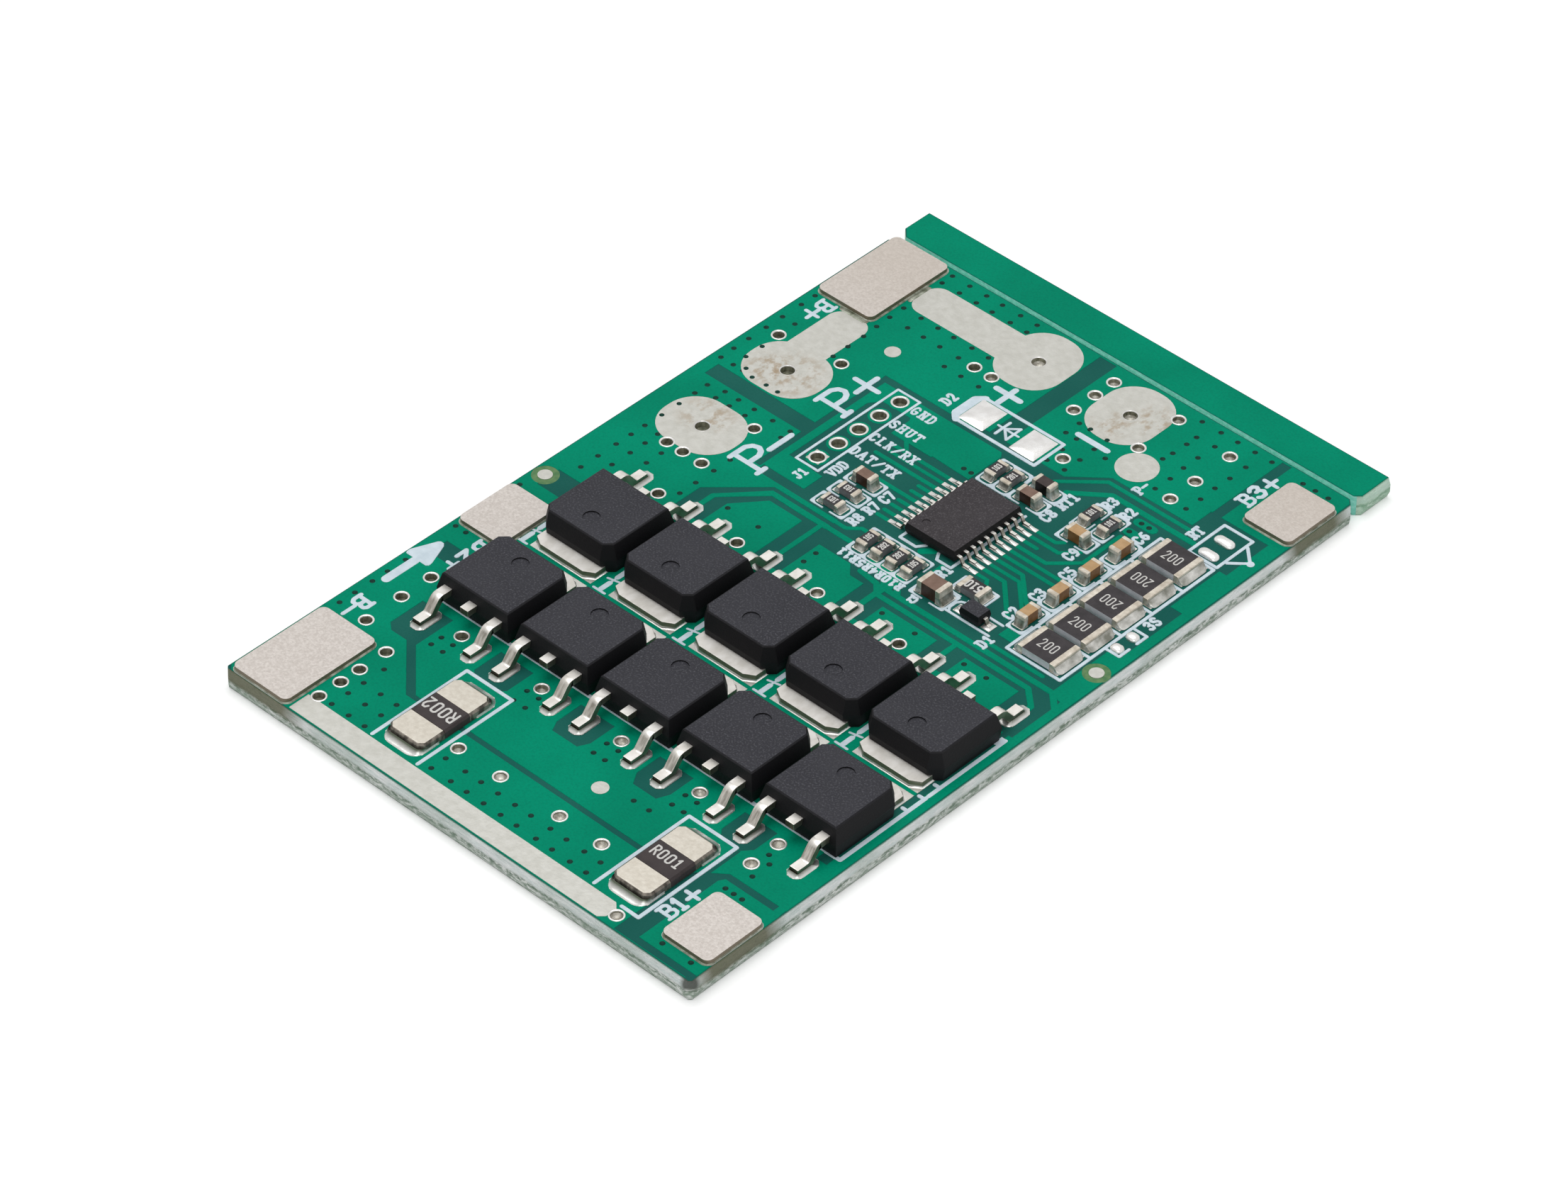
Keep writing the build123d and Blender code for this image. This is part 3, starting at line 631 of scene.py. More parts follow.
small_chip = (1.6, 0.8, 0.32)
middle_chip = (2.0, 1.25, 0.4)
resistor_places = [(16.7, 39.85, 0), (16.7, 38.3, 0), (22.2, 48.18, 90), (23.55, 48.18, 90)]
resistor_places += [(20.95 + 1.31 * column, 37.15, 90) for column in range(4)]
resistor_places += [(29.67, 49.05, 90), (31.28, 49.05, 90)]
capacitor_places = [(25.7, 49.0, 0), (30.5, 46.8, 0), (16.7, 41.45, 0), (25.65, 47.5, 0)]
capacitor_places += [(33.48, y + 1.5, 90) for y in balance_y[:-1]]
chips = [(*where, *small_chip, 0.45) for where in resistor_places]
chips += [(*where, *small_chip, 0.8) for where in capacitor_places]
chips += [(29.2, 38.24, 0, *middle_chip, 0.5), (27.5, 36.36, 0, *middle_chip, 1.0)]
shunts = [(13.3, 5.97, 90), (32.9, 6.1, 90)]
lead_rows = [42.65 + 0.65 * (row - 4.5) for row in range(10)]


# The copper under the mask: its pours and traces in drawing order, and what is cut out of them

board_pour = [
    (0.06, 0.42), (0.42, 0.08), (40.5, 0.08), (40.94, 0.45),
    (40.9, 61.85), (40.58, 62.2), (0.76, 62.2), (0.1, 61.55),
]
rail_pour = [(0.06, 65.72), (0.06, 63.42), (0.72, 62.74), (40.55, 62.74), (40.94, 63.14), (40.94, 65.72)]
copper = [(True, board_pour), (True, rail_pour)]


def clear(*outlines):
    copper.extend((False, outline) for outline in outlines)


def fill(*outlines):
    copper.extend((True, outline) for outline in outlines)


# gate lands of the front row, joined by one channel
clear(
    [(4.35, 13.1), (4.35, 10.2), (4.95, 9.7), (7.15, 9.7), (7.15, 13.1)],
    [(11.5, 13.1), (11.5, 10.7), (11.75, 10.45), (14.2, 10.45), (14.45, 10.7), (14.45, 13.1)],
    [(18.7, 13.1), (18.7, 10.9), (19.1, 10.1), (21.3, 10.1), (21.7, 10.9), (21.7, 13.1)],
    [(25.65, 13.1), (25.65, 11.0), (26.2, 10.1), (28.2, 10.1), (28.6, 11.0), (28.6, 13.1)],
    [(33.0, 13.1), (33.0, 11.0), (33.4, 10.5), (35.2, 10.3), (35.8, 11.0), (35.8, 13.1)],
    [(6.3, 9.75), (7.15, 9.8), (10.6, 6.48), (10.1, 6.05)], rect(10.1, 6.05, 30.75, 6.48),
    [(34.45, 0.1), (36.1, 0.1), (36.1, 7.5), (36.35, 7.9), (41, 7.9), (41, 8.45), (36.2, 8.45),
     (34.45, 7.0)], rect(34.5, 0.1, 41, 0.65), [(35.0, 10.3), (35.3, 10.3), (35.3, 7.0), (35.0, 7.0)],
)
# round the drain lands, and left of the rows
clear(rect(1.2, 16.7, 3.6, 18.3), rect(1.3, 26.4, 3.6, 28.45), rect(39.5, 13.9, 40.0, 30.0))
# below and between the back row's lands
clear(
    [(9.2, 31.0), (10.2, 31.0), (10.2, 33.6), (12.9, 36.65), (20, 36.65), (20, 37.0), (12.7, 37.0),
     (9.2, 33.6)],
    [(10.6, 31.0), (11.65, 31.0), (11.65, 33.6), (13.45, 35.75), (14.5, 35.75), (14.5, 36.22),
     (13.2, 36.22), (10.6, 33.6)], rect(16.35, 31.0, 17.38, 36.2), rect(17.75, 31.0, 18.8, 36.2),
    rect(14.45, 35.75, 21.5, 36.2), rect(18.75, 34.8, 22.2, 36.5),
    [(21.5, 34.85), (22.3, 33.95), (23.5, 33.95), (23.5, 31.0), (24.5, 31.0), (24.5, 34.3),
     (24.0, 35.2), (21.0, 35.8)],
    [(24.95, 31.0), (25.95, 31.0), (25.95, 33.15), (38.0, 33.15), (38.0, 33.58), (24.95, 33.58)],
    rect(25.0, 33.98, 38.4, 34.32), rect(30.65, 31.0, 31.6, 33.3), rect(32.0, 31.0, 33.1, 33.3),
    rect(37.65, 29.6, 40.35, 33.4),
    [(38.2, 33.2), (40.35, 33.2), (40.35, 34.2), (39.3, 34.32), (38.0, 34.32), (37.9, 33.9)],
)
# the signal area
clear(
    rect(14.0, 37.4, 36.0, 46.4), rect(18.0, 36.2, 39.2, 51.0), rect(25.2, 34.74, 39.2, 36.4),
    rect(10.6, 37.4, 15.0, 38.2), rect(21.3, 46.0, 34.8, 50.6), rect(10.0, 37.9, 10.5, 50.6),
    rect(11.1, 40.05, 14.4, 48.5), rect(13.2, 38.2, 15.5, 46.4),
    [(10.0, 50.2), (10.6, 50.62), (21.3, 50.62), (25.3, 50.62), (25.3, 49.8), (10.0, 50.0)],
    rect(1.1, 42.35, 10.1, 43.7), rect(19.0, 50.5, 20.5, 62.1), rect(35.0, 55.0, 35.8, 62.1),
    rect(34.9, 50.8, 39.8, 55.0), [(24.8, 50.3), (28.0, 53.1), (35.2, 53.1), (35.2, 49.5), (24.8, 49.5)],
    rect(38.9, 40.0, 40.2, 46.0),
)
fill(
    [(10.55, 38.2), (14.2, 38.2), (14.2, 39.95), (11.1, 40.0), (11.1, 47.6), (11.75, 48.45),
     (14.2, 48.45), (15.0, 47.6), (15.6, 46.6), (21.3, 46.4), (21.3, 49.6), (21.0, 49.97),
     (10.55, 49.97)], [(33.1, 36.3), (34.3, 36.3), (34.3, 37.2), (33.1, 37.2)],
    rect(26.0, 31.5, 30.65, 33.15), rect(33.1, 31.5, 37.65, 33.15), rect(18.8, 31.5, 23.5, 33.95),
    [(18.8, 33.5), (18.8, 34.8), (21.4, 34.8), (22.25, 33.95), (22.25, 33.5)],
    rect(14.5, 31.5, 16.35, 35.7),
)
for width, *flat in (
    (0.38, 13.2, 36.43, 20.0, 36.43), (0.36, 10.4, 31.0, 10.4, 33.6, 13.1, 36.45),
    (0.36, 17.56, 31.0, 17.56, 36.5), (0.4, 22.5, 34.75, 24.1, 34.55, 24.73, 33.9, 24.73, 31.0),
    (0.42, 25.5, 35.0, 25.9, 34.53, 39.3, 34.53, 40.5, 33.4, 40.5, 29.6),
    (0.38, 25.2, 33.78, 37.9, 33.78, 39.2, 32.6, 39.2, 31.5), (0.3, 33.0, 35.25, 37.8, 35.25),
    (0.36, 31.8, 33.7, 31.8, 31.0), (0.3, 15.0, 44.25, 20.4, 44.25), (0.3, 15.2, 45.6, 20.4, 45.6),
    (0.26, 15.6, 44.95, 20.4, 44.95), (0.3, 17.0, 42.33, 20.4, 42.33),
    (0.3, 14.4, 37.2, 18.9, 37.2, 19.7, 37.9, 21.0, 37.9), (0.3, 14.6, 47.7, 16.4, 45.7),
    (0.3, 28.0, 43.62, 30.6, 43.62, 32.3, 45.3, 32.3, 49.0), (0.28, 28.0, 42.98, 32.6, 42.98),
    (0.28, 28.0, 42.32, 32.6, 42.32), (0.3, 28.0, 41.7, 30.3, 41.7, 32.2, 39.9, 33.0, 39.4),
    (0.26, 28.0, 41.05, 30.6, 41.05, 32.6, 39.1), (0.3, 28.0, 40.4, 29.9, 40.4, 32.4, 37.9),
    (0.28, 28.0, 45.6, 29.7, 45.6, 30.1, 46.0), (0.28, 28.0, 44.95, 30.5, 44.95, 31.5, 46.0),
    (0.28, 28.0, 44.3, 29.2, 44.3), (0.26, 28.0, 39.75, 29.0, 39.75, 29.3, 39.3),
    (0.3, 25.5, 50.2, 28.1, 52.6, 35.2, 52.6), (0.42, 26.8, 49.9, 27.0, 50.0, 29.2, 51.75, 36.2, 51.75),
    (0.72, 32.2, 50.9, 33.4, 50.9), (0.7, 32.3, 49.72, 33.0, 49.72), (0.5, 40.5, 34.0, 40.5, 39.0),
    (0.3, 26.0, 38.8, 26.0, 37.6), (0.5, 24.0, 38.9, 24.6, 39.5),
    *[(0.28, 19.4, y, 20.4, y) for y in (43.65, 42.95, 41.7, 41.05, 40.35, 39.7)],
):
    fill(*stroke(pairs(flat), width))
fill(rect(40.35, 0.7, 40.9, 61.85), rect(35.85, 55.2, 40.6, 62.18))
fill([(36.1, 0.7), (40.9, 0.7), (40.9, 7.85), (36.5, 7.85), (36.1, 7.4)])
clear(rect(39.0, 13.1, 39.9, 13.9))
for x, y in header_spots:
    fill(disc(x, y, 0.8))
# every land stands in its own opening of the mask
clear(*[disc(x, y, 0.56, 16) for x, y in header_spots + wire_spots])
clear(*[disc(x, y, 0.5, 16) for x, y in via_spots])
clear(*[disc(x, y, 0.17, 9) for x, y in small_vias])
clear(*[disc(x, y, 0.95, 28) for x, y in fiducial_spots])
piece("copper_under_mask", sheet_of(copper, BOARD - 0.01, POUR, 0.035), "pour", smooth=False)

halos = Soup()
for x, y in fiducial_spots:
    revolve(halos, x, y, [(0.97, 1.603), (0.93, 1.608), (0.4, 1.608)], 28)
piece("fiducial_halos", halos, "halo")

dimples = Soup()
for x, y in small_vias:
    revolve(dimples, x, y, [(0.2, 1.632), (0.17, 1.634), (0.12, 1.612), (0.05, 1.604)], 10, closed=True)
# those that open through a bare land
for x, y in (
    (1.95, 47.05), (1.93, 45.5), (2.8, 44.6), (3.75, 44.2), (5.0, 44.25), (6.05, 44.25), (6.1, 49.6),
    (6.1, 51.05), (6.1, 52.6), (2.2, 38.8), (2.2, 37.15), (23.65, 55.85), (25.2, 55.75),
):
    revolve(dimples, x, y, [(0.19, 1.647), (0.175, 1.654), (0.15, 1.654), (0.05, 1.652)], 12, closed=True)
piece("covered_via_dimples", dimples, "dimple")


# Plated holes: a tinned ring on the top face, the barrel below it, and what fills the hole

rings, barrels, plugs, cups, dull_plugs = Soup(), Soup(), Soup(), Soup(), Soup()
ring_top = 1.668
barrel_top = ring_top - 0.07
for spots, hole, ring in ((via_spots, 0.4, 0.55), (header_spots, 0.475, 0.64), (wire_spots, 0.49, 0.58)):
    for x, y in spots:
        profile = [(ring, LAND - 0.03), (ring - 0.015, ring_top - 0.012), (ring - 0.04, ring_top)]
        profile += [(hole + 0.06, ring_top), (hole + 0.02, ring_top - 0.02), (hole, barrel_top)]
        revolve(rings, x, y, profile, 24)
        revolve(barrels, x, y, [(hole, barrel_top), (hole, 0.05), (hole, 0.0)], 24)
        if (x, y) in filled_vias:
            soup = plugs
            heights = (1.5, 1.36, 1.3, 1.28)
        elif x > 15 and y > 50 or (x, y) in half_filled:
            soup = cups
            heights = (1.3, 1.16, 1.1, 1.08)
        else:
            soup = dull_plugs
            heights = (1.15, 1.08, 1.06)
        # a sunk filling: its rim on the barrel, one or two slopes, and its middle
        radii = (hole, hole * 0.8, hole * 0.4)[: len(heights) - 1]
        revolve(soup, x, y, list(zip((*radii, 0.05), heights)), 20, closed=True)
piece("via_rings", rings, "joint")
piece("via_barrels", barrels, "barrel")
piece("via_plugs", plugs, "cup")
piece("via_cups", cups, "cup")
piece("dull_via_plugs", dull_plugs, "flux")


# Solder at the transistors, the chips, the shunts and the tabs

# round-ended joints under the toes of the transistors' leads
joints = Soup()
for row, middle in ((front_row, -4.97), (back_row, -5.28)):
    for x, y, turn in row:
        for side in (-2.286, 2.286):
            outer = rounded(side, middle, 1.24, 2.32, 0.58, 8)
            inner = rounded(side, -5.22, 0.76, 1.28, 0.08, 8)
            mound(joints, turned(outer, x, y, turn), turned(inner, x, y, turn), LAND - 0.02, 1.9, 8, 0.5, 2.0)
# climbing the end caps of the chips and of the balance resistors
fillets = Soup()
fillet_reach = 0.24
for x, y, turn, length, width, cap, height in chips:
    for end in (-1, 1):
        middle = end * (length + fillet_reach - cap) / 2
        outer = rounded(middle, 0, cap + fillet_reach, width + 0.1, 0.24)
        inner = rounded(end * (length - cap) / 2, 0, cap + 0.02, width + 0.05, 0.03)
        rise = LAND + min(height * 0.72, 0.5)
        mound(fillets, turned(outer, x, y, turn), turned(inner, x, y, turn), LAND, rise, 7, 0.3, 2.0)
piece("chip_fillets", fillets, "fillet")
slabs = Soup()
for y in balance_y:
    for end in (-1, 1):
        outer = rounded(balance_x + end * 1.6, y, 0.92, 2.56, 0.44, 7)
        inner = rounded(balance_x + end * 1.375, y, 0.46, 2.48, 0.04, 7)
        mound(slabs, outer, inner, LAND, LAND + 0.42, 8, 0.55, 1.8)
piece("balance_solder", slabs, "slab")
# under the ends of the shunts, the controller's leads and the diode's
for x, y, turn in shunts:
    for end in (-1, 1):
        outer = rounded(x, y + end * 2.43, 3.34, 2.72, 0.95, 8)
        inner = rounded(x, y + end * 2.1, 3.1, 2.3, 0.4, 8)
        mound(joints, outer, inner, LAND - 0.02, LAND + 0.32, 9, 0.35, 2.2)
for y in lead_rows:
    for side in (-1, 1):
        outer = rounded(controller_x + side * 3.275, y, 1.13, 0.27, 0.12, 3)
        inner = rounded(controller_x + side * 2.98, y, 0.5, 0.22, 0.02, 3)
        mound(joints, outer, inner, LAND, LAND + 0.12, steps=4, bulge=0.4)
for end in (-1, 1):
    outer = rounded(diode_x + end * 1.2, diode_y, 0.73, 0.78, 0.2)
    inner = rounded(diode_x + end * 1.2, diode_y, 0.3, 0.34, 0.03)
    mound(joints, outer, inner, LAND, LAND + 0.14, bulge=0.4)
piece("solder_joints", joints, "joint")

# fillets round the nickel tabs, and the runs of solder that join one to its lands
tab_solder = Soup()
for name in nodes:
    if name.endswith("_tab"):
        low, high = (corner[:2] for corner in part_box(name))
        left, near = low[0] / MM + CORNER_X, low[1] / MM + CORNER_Y
        right, far = high[0] / MM + CORNER_X, high[1] / MM + CORNER_Y
        middle = ((left + right) / 2, (near + far) / 2)
        size = (right - left, far - near)
        outer = rounded(*middle, size[0] + 0.22, size[1] + 0.22, 0.6, 7)
        inner = rounded(*middle, size[0] - 0.02, size[1] - 0.02, 0.5, 7)
        outer = [(min(max(a, 0.03), 40.97), max(b, 0.03)) for a, b in outer]
        mound(tab_solder, outer, inner, LAND - 0.02, LAND + 0.07, 5, 0.6, 1.4)
for x, y, across, along in ((4.05, 53.84, 2.5, 0.5), (5.7, 58.6, 0.34, 2.2)):
    outer = rounded(x, y, across, along, min(across, along) * 0.48, 7)
    inner = rounded(x, y, across * 0.6, along * 0.7, min(across, along) * 0.2, 7)
    mound(tab_solder, outer, inner, LAND - 0.01, LAND + 0.04, 5, 0.6, 1.4, top=(x, y))
piece("tab_solder", tab_solder, "seam")

slug_solder = Soup()
for row, lip in ((front_row, 0.2), (back_row, 0.1)):
    for x, y, turn in row:
        inner = [(-2.66, -2), (2.66, -2), (2.66, 3.65), (1.92, 4.09), (-1.92, 4.09), (-2.66, 3.65)]
        outer = [(-2.76, -2), (2.76, -2), (2.76, 3.7), (2.0, 4.1 + lip), (-2.0, 4.1 + lip), (-2.76, 3.7)]
        inner, outer = turned(inner, x, y, turn), turned(outer, x, y, turn)
        mound(slug_solder, outer, inner, LAND, LAND + 0.2, 8, 0.12, 3.0)
piece("slug_solder", slug_solder, "joint")

beads = Soup()
for x, y, across in ((37.6, 53.2, 1.62), (37.65, 51.55, 1.62), (39.48, 42.0, 0.98), (39.48, 40.5, 0.98)):
    dome(beads, rounded(x, y, across, 0.8, 0.38, 7), (x, y), LAND, LAND + 0.26)
for x, y in ((17.55, 51.95), (22.08, 51.94)):
    outer = rounded(x, y, 2.15, 2.55, 0.12)
    inner = rounded(x, y - 0.3, 0.9, 0.9, 0.3)
    mound(beads, outer, inner, LAND, LAND + 0.14, steps=8, bulge=0.75, power=1.0, top=(x, y - 0.35))
beads = piece("solder_bridges", beads, "bead")
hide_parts("solder_beads")


# Printed marks

# each letter's runs of places x,y in hundredths of its height, from its lower left corner
GLYPHS = {
    "0": "8,12 8,88 20,100 40,100 52,88 52,12 40,0 20,0 8,12",
    "1": "14,80 32,100 32,0 | 14,0 50,0",
    "2": "8,78 20,100 42,100 53,78 46,52 8,0 55,0",
    "3": "7,85 20,100 42,100 53,80 42,55 25,53 | 42,55 55,30 43,2 18,0 5,15",
    "4": "42,0 42,100 3,30 57,30",
    "5": "52,100 12,100 9,56 35,60 54,40 50,10 30,0 6,8",
    "6": "48,97 25,95 8,60 8,20 30,0 52,20 50,45 30,58 | 30,58 10,42",
    "7": "5,100 55,100 25,0",
    "8": "30,54 10,70 12,92 30,100 48,92 50,70 30,54 | 30,54 7,32 8,10 30,0 52,10 53,32 30,54",
    "9": "12,3 35,5 52,40 52,80 30,100 8,80 10,55 30,42 | 30,42 50,58",
    "A": "2,0 30,100 58,0 | 12,36 48,36",
    "B": "10,0 10,100 38,100 50,88 50,66 38,53 10,53 | 38,53 55,40 55,14 40,0 10,0",
    "C": "55,80 40,100 20,100 6,75 6,25 20,0 40,0 55,20",
    "D": "10,0 10,100 35,100 54,75 54,25 35,0 10,0",
    "G": "55,80 40,100 20,100 6,75 6,25 20,0 40,0 55,15 | 55,15 55,42 35,42",
    "H": "8,0 8,100 | 52,0 52,100 | 8,52 52,52",
    "J": "40,100 40,20 27,0 10,5 5,25 | 22,100 55,100",
    "K": "10,0 10,100 | 52,100 12,45 | 25,60 55,0",
    "L": "12,100 12,0 52,0",
    "N": "8,0 8,100 52,0 52,100",
    "P": "12,0 12,100 40,100 54,86 54,60 40,46 12,46",
    "R": "12,0 12,100 40,100 54,86 54,64 40,50 12,50 | 34,50 56,0",
    "S": "53,85 40,100 20,100 7,82 12,60 48,42 54,20 40,0 | 40,0 18,0 5,16",
    "T": "30,0 30,100 | 0,85 0,100 60,100 60,85",
    "U": "8,100 8,22 22,0 40,0 52,22 52,100",
    "V": "3,100 30,0 57,100",
    "X": "5,0 55,100 | 5,100 55,0",
    "/": "2,0 58,100",
    "-": "0,50 60,50",
}
# where the upright strokes stand that carry serifs
STEMS = {
    "B": (0.1,), "D": (0.1,), "H": (0.08, 0.52), "K": (0.1,), "P": (0.12,), "R": (0.12,), "T": (0.3,),
    "L": (0.12,), "U": (0.08, 0.52), "N": (0.08, 0.52), "A": (0.02, 0.58), "X": (0.05, 0.55),
    "V": (0.03, 0.57),
}


def letter_runs(letter):
    """The runs of one letter, in shares of its height."""
    runs = [run.split() for run in GLYPHS[letter].split("|")]
    return [[tuple(int(number) / 100 for number in spot.split(",")) for spot in run] for run in runs]


def word(text, x, y, height, turn=0, width=0.16, pitch=0.78, serif=False, wide=1.0):
    """Capsules that draw a word about a place in plan."""
    length = ((len(text) - 1) * pitch + 0.6 * wide) * height
    outlines = []
    for place, letter in enumerate(text):
        runs = letter_runs(letter)
        if serif:
            for stem in STEMS.get(letter, ()):
                if letter not in "UV":
                    runs.append([(stem - 0.12, 0), (stem + 0.1, 0)])
                if letter not in "AT":
                    runs.append([(stem - 0.12, 1), (stem + 0.1, 1)])
        for run in runs:
            local = [((a * wide + place * pitch) * height - length / 2, (b - 0.5) * height) for a, b in run]
            outlines += stroke(turned(local, x, y, turn), width)
    return outlines


ink = []


def line(width, *flat):
    """A printed line through places written as x, y, x, y."""
    ink.extend(stroke(pairs(flat), width))


def label(*details, **more):
    ink.extend(word(*details, serif=True, **more))


def frame_line(left, near, right, far, width):
    line(width, left, near, right, near, right, far, left, far, left, near)


# the wire and cell marks
label("B", 1.68, 10.25, 1.2, turn=-90, width=0.3, wide=1.3)
line(0.28, 1.6, 9.7, 1.6, 8.62)
label("B", 2.0, 53.15, 1.2, turn=-90, width=0.26, wide=1.3)
line(0.3, 1.95, 52.6, 1.95, 51.4)
line(0.28, 1.35, 51.98, 2.45, 51.98)
line(0.26, 2.75, 16.85, 3.9, 16.85)
line(0.26, 3.3, 16.4, 3.3, 17.3)
label("2", 3.4, 18.1, 1.25, turn=-90, width=0.3, wide=1.5)
label("B", 3.4, 19.35, 1.25, turn=-90, width=0.28, wide=1.2)
label("B", 35.8, 3.45, 1.14, turn=90, width=0.24, wide=1.3)
label("1", 35.8, 4.35, 1.14, turn=90, width=0.28, wide=0.9)
line(0.28, 35.9, 5.0, 35.9, 6.0)
line(0.28, 35.35, 5.48, 36.4, 5.48)
label("B", 35.8, 57.5, 1.14, turn=90, width=0.24, wide=1.3)
label("3", 35.8, 58.6, 1.14, turn=90, width=0.3, wide=1.35)
line(0.28, 35.92, 59.4, 35.92, 60.4)
line(0.28, 35.35, 59.85, 36.45, 59.85)
for shift in (0, 8.25):
    line(0.38, 8.45, 37.15 + shift, 8.45, 37.55 + shift, 10.95, 37.55 + shift)
    line(0.4, 8.45, 37.5 + shift, 8.47, 38.6 + shift, 8.75, 39.05 + shift, 9.2, 39.2 + shift)
    line(0.4, 9.2, 39.2 + shift, 9.55, 39.0 + shift, 9.76, 38.6 + shift, 9.76, 37.6 + shift)
    line(0.38, 10.95, 37.15 + shift, 10.95, 37.95 + shift)
line(0.4, 9.82, 39.5, 9.82, 41.65)
line(0.4, 9.84, 47.85, 9.84, 49.95)
line(0.4, 8.8, 48.9, 10.9, 48.9)
line(0.44, 17.35, 53.6, 17.35, 55.45)
line(0.46, 16.25, 54.75, 18.35, 54.75)
line(0.46, 23.4, 54.9, 25.95, 54.9)
ink.append(rounded(1.13, 14.2, 0.66, 3.2, 0.32))
ink.append([
    (0.1, 15.75), (0.2, 15.6), (2.0, 15.6), (2.15, 15.75), (2.12, 16.05), (1.45, 17.75), (1.25, 17.95),
    (1.0, 17.95), (0.85, 17.8), (0.1, 16.05),
])
# the header and its signals
frame_line(11.65, 40.15, 13.62, 50.05, 0.18)
label("J1", 12.95, 39.15, 0.68, turn=90, width=0.18, pitch=0.74)
label("VDD", 14.4, 41.2, 0.72, turn=90, width=0.16)
label("DAT/TX", 15.7, 43.4, 0.74, width=0.16, pitch=0.94)
label("CLK/RX", 15.65, 45.3, 0.74, width=0.16, pitch=0.94)
label("SHUT", 15.05, 47.2, 0.74, width=0.16, pitch=0.96)
label("GND", 14.75, 49.2, 0.74, width=0.16, pitch=0.96)
# the designators
for text, x, y in (
    ("C7", 18.75, 41.3), ("R7", 18.75, 39.8), ("R8", 18.75, 38.25), ("R1", 26.45, 38.35),
    ("D1", 32.95, 35.15), ("C6", 33.4, 49.75), ("C9", 31.2, 45.4), ("C5", 32.3, 43.8), ("C3", 32.3, 40.9),
    ("C2", 32.3, 38.4), ("C8", 27.55, 47.25), ("R3", 29.65, 51.0), ("R2", 31.2, 51.0),
    ("RT", 35.6, 52.65), ("3S", 39.48, 43.9), ("D2", 14.78, 51.65), ("P-", 30.1, 53.6),
    ("RT1", 27.5, 49.2),
):
    label(text, x, y, 0.74, turn=90, width=0.19, pitch=0.82)
label("R10R4R5R11", 22.85, 35.3, 0.6, turn=180, width=0.18, pitch=0.94, wide=1.1)
label("C1", 26.8, 35.0, 0.56, turn=180, width=0.17, pitch=0.55)
# shunts
line(0.26, 11.25, 2.05, 11.25, 10.32, 15.32, 10.32, 15.32, 2.05)
line(0.26, 30.8, 2.1, 30.8, 10.4, 34.88, 10.4, 34.88, 1.8, 33.45, 1.8)
# the flooded lands of the missing diode
line(0.25, 16.4, 53.42, 23.45, 53.42, 23.45, 50.45, 16.4, 50.45)
line(0.5, 16.5, 53.42, 15.98, 52.9, 15.98, 50.95, 16.5, 50.45)
line(0.3, 16.28, 53.3, 16.28, 50.55)
line(0.16, 18.95, 51.93, 20.75, 51.93)
line(0.2, 19.38, 51.15, 19.38, 52.65)
line(0.18, 20.35, 51.15, 20.35, 52.65, 19.55, 51.93, 20.35, 51.15)
# round the transistors
line(0.3, 5.3, 13.98, 40.2, 13.98, 40.2, 21.75)
line(0.28, 40.2, 21.95, 40.2, 29.1)
for y in (20.1, 21.62, 23.05):
    line(0.26, 39.75, y, 40.1, y)
ink.append(rect(39.8, 28.4, 40.3, 29.2))
for x in (4.65, 11.75, 18.9, 26.0, 33.1):
    line(0.38, x, 21.8, x, 22.65)
    line(0.38, x, 23.35, x, 24.3)
    line(0.18, x - 0.5, 21.65, x + 0.5, 21.65)
    line(0.16, x - 0.45, 22.9, x + 0.45, 23.1)
    line(0.14, x, 22.6, x, 23.4)
# balance resistors and their bridge lands
frame_line(34.32, 35.72, 38.85, 50.65, 0.22)
for y in (38.65, 41.65, 44.65, 47.65):
    line(0.24, 34.3, y, 34.6, y)
    line(0.22, 37.9, y, 38.85, y)
frame_line(36.45, 50.95, 38.85, 54.55, 0.22)
line(0.22, 39.0, 53.85, 40.15, 52.75, 39.0, 51.75)
ink.append(disc(40.2, 52.72, 0.27))
line(0.2, 38.95, 42.72, 40.05, 42.72, 40.05, 41.75)
line(0.2, 38.95, 40.02, 40.05, 40.02, 40.05, 41.0)
# the controller
line(0.2, 22.05, 39.8, 22.05, 38.98, 23.45, 38.98, 23.85, 39.55)
line(0.2, 24.95, 39.55, 25.3, 38.98, 26.52, 38.98, 26.52, 46.2)


# printed boxes round the chips, each with a round-ended opening and a gap half way along;
# two groups of chips side by side have one box each
pair = [(22.2, 48.18), (23.55, 48.18)]
four = [(20.95 + 1.31 * column, 37.15) for column in range(4)]
boxes = [rounded(22.86, 37.15, 5.42, 2.82, 0.15, 3), rounded(22.88, 48.18, 2.75, 2.86, 0.15, 3)]
openings = []
for x, y, turn, length, width, cap, height in chips:
    half_long = length / 2 + (0.65 if length < 1.8 else 0.5)
    half_wide = width / 2 + 0.3
    if (x, y) not in pair + four:
        boxes.append(turned(rounded(0, 0, 2 * half_long, 2 * half_wide, 0.12, 3), x, y, turn))
        openings.append(turned(rounded(0, 0, 0.6, 2 * half_wide + 0.1, 0.05, 3), x, y, turn))
    opening = rounded(0, 0, 2 * half_long - 0.3, 2 * half_wide - 0.22, 0.42, 7)
    openings.append(turned(opening, x, y, turn))
openings += [rect(19.9, 36.6, 25.3, 38.3), rect(25.2, 36.85, 25.8, 37.45), rect(21.6, 47.7, 24.5, 48.7)]
line(0.17, 29.05, 35.75, 32.75, 35.75)
line(0.17, 31.55, 37.12, 32.75, 37.12)
line(0.17, 29.55, 37.12, 29.25, 37.0, 29.05, 36.7, 29.05, 36.1, 29.25, 35.8)
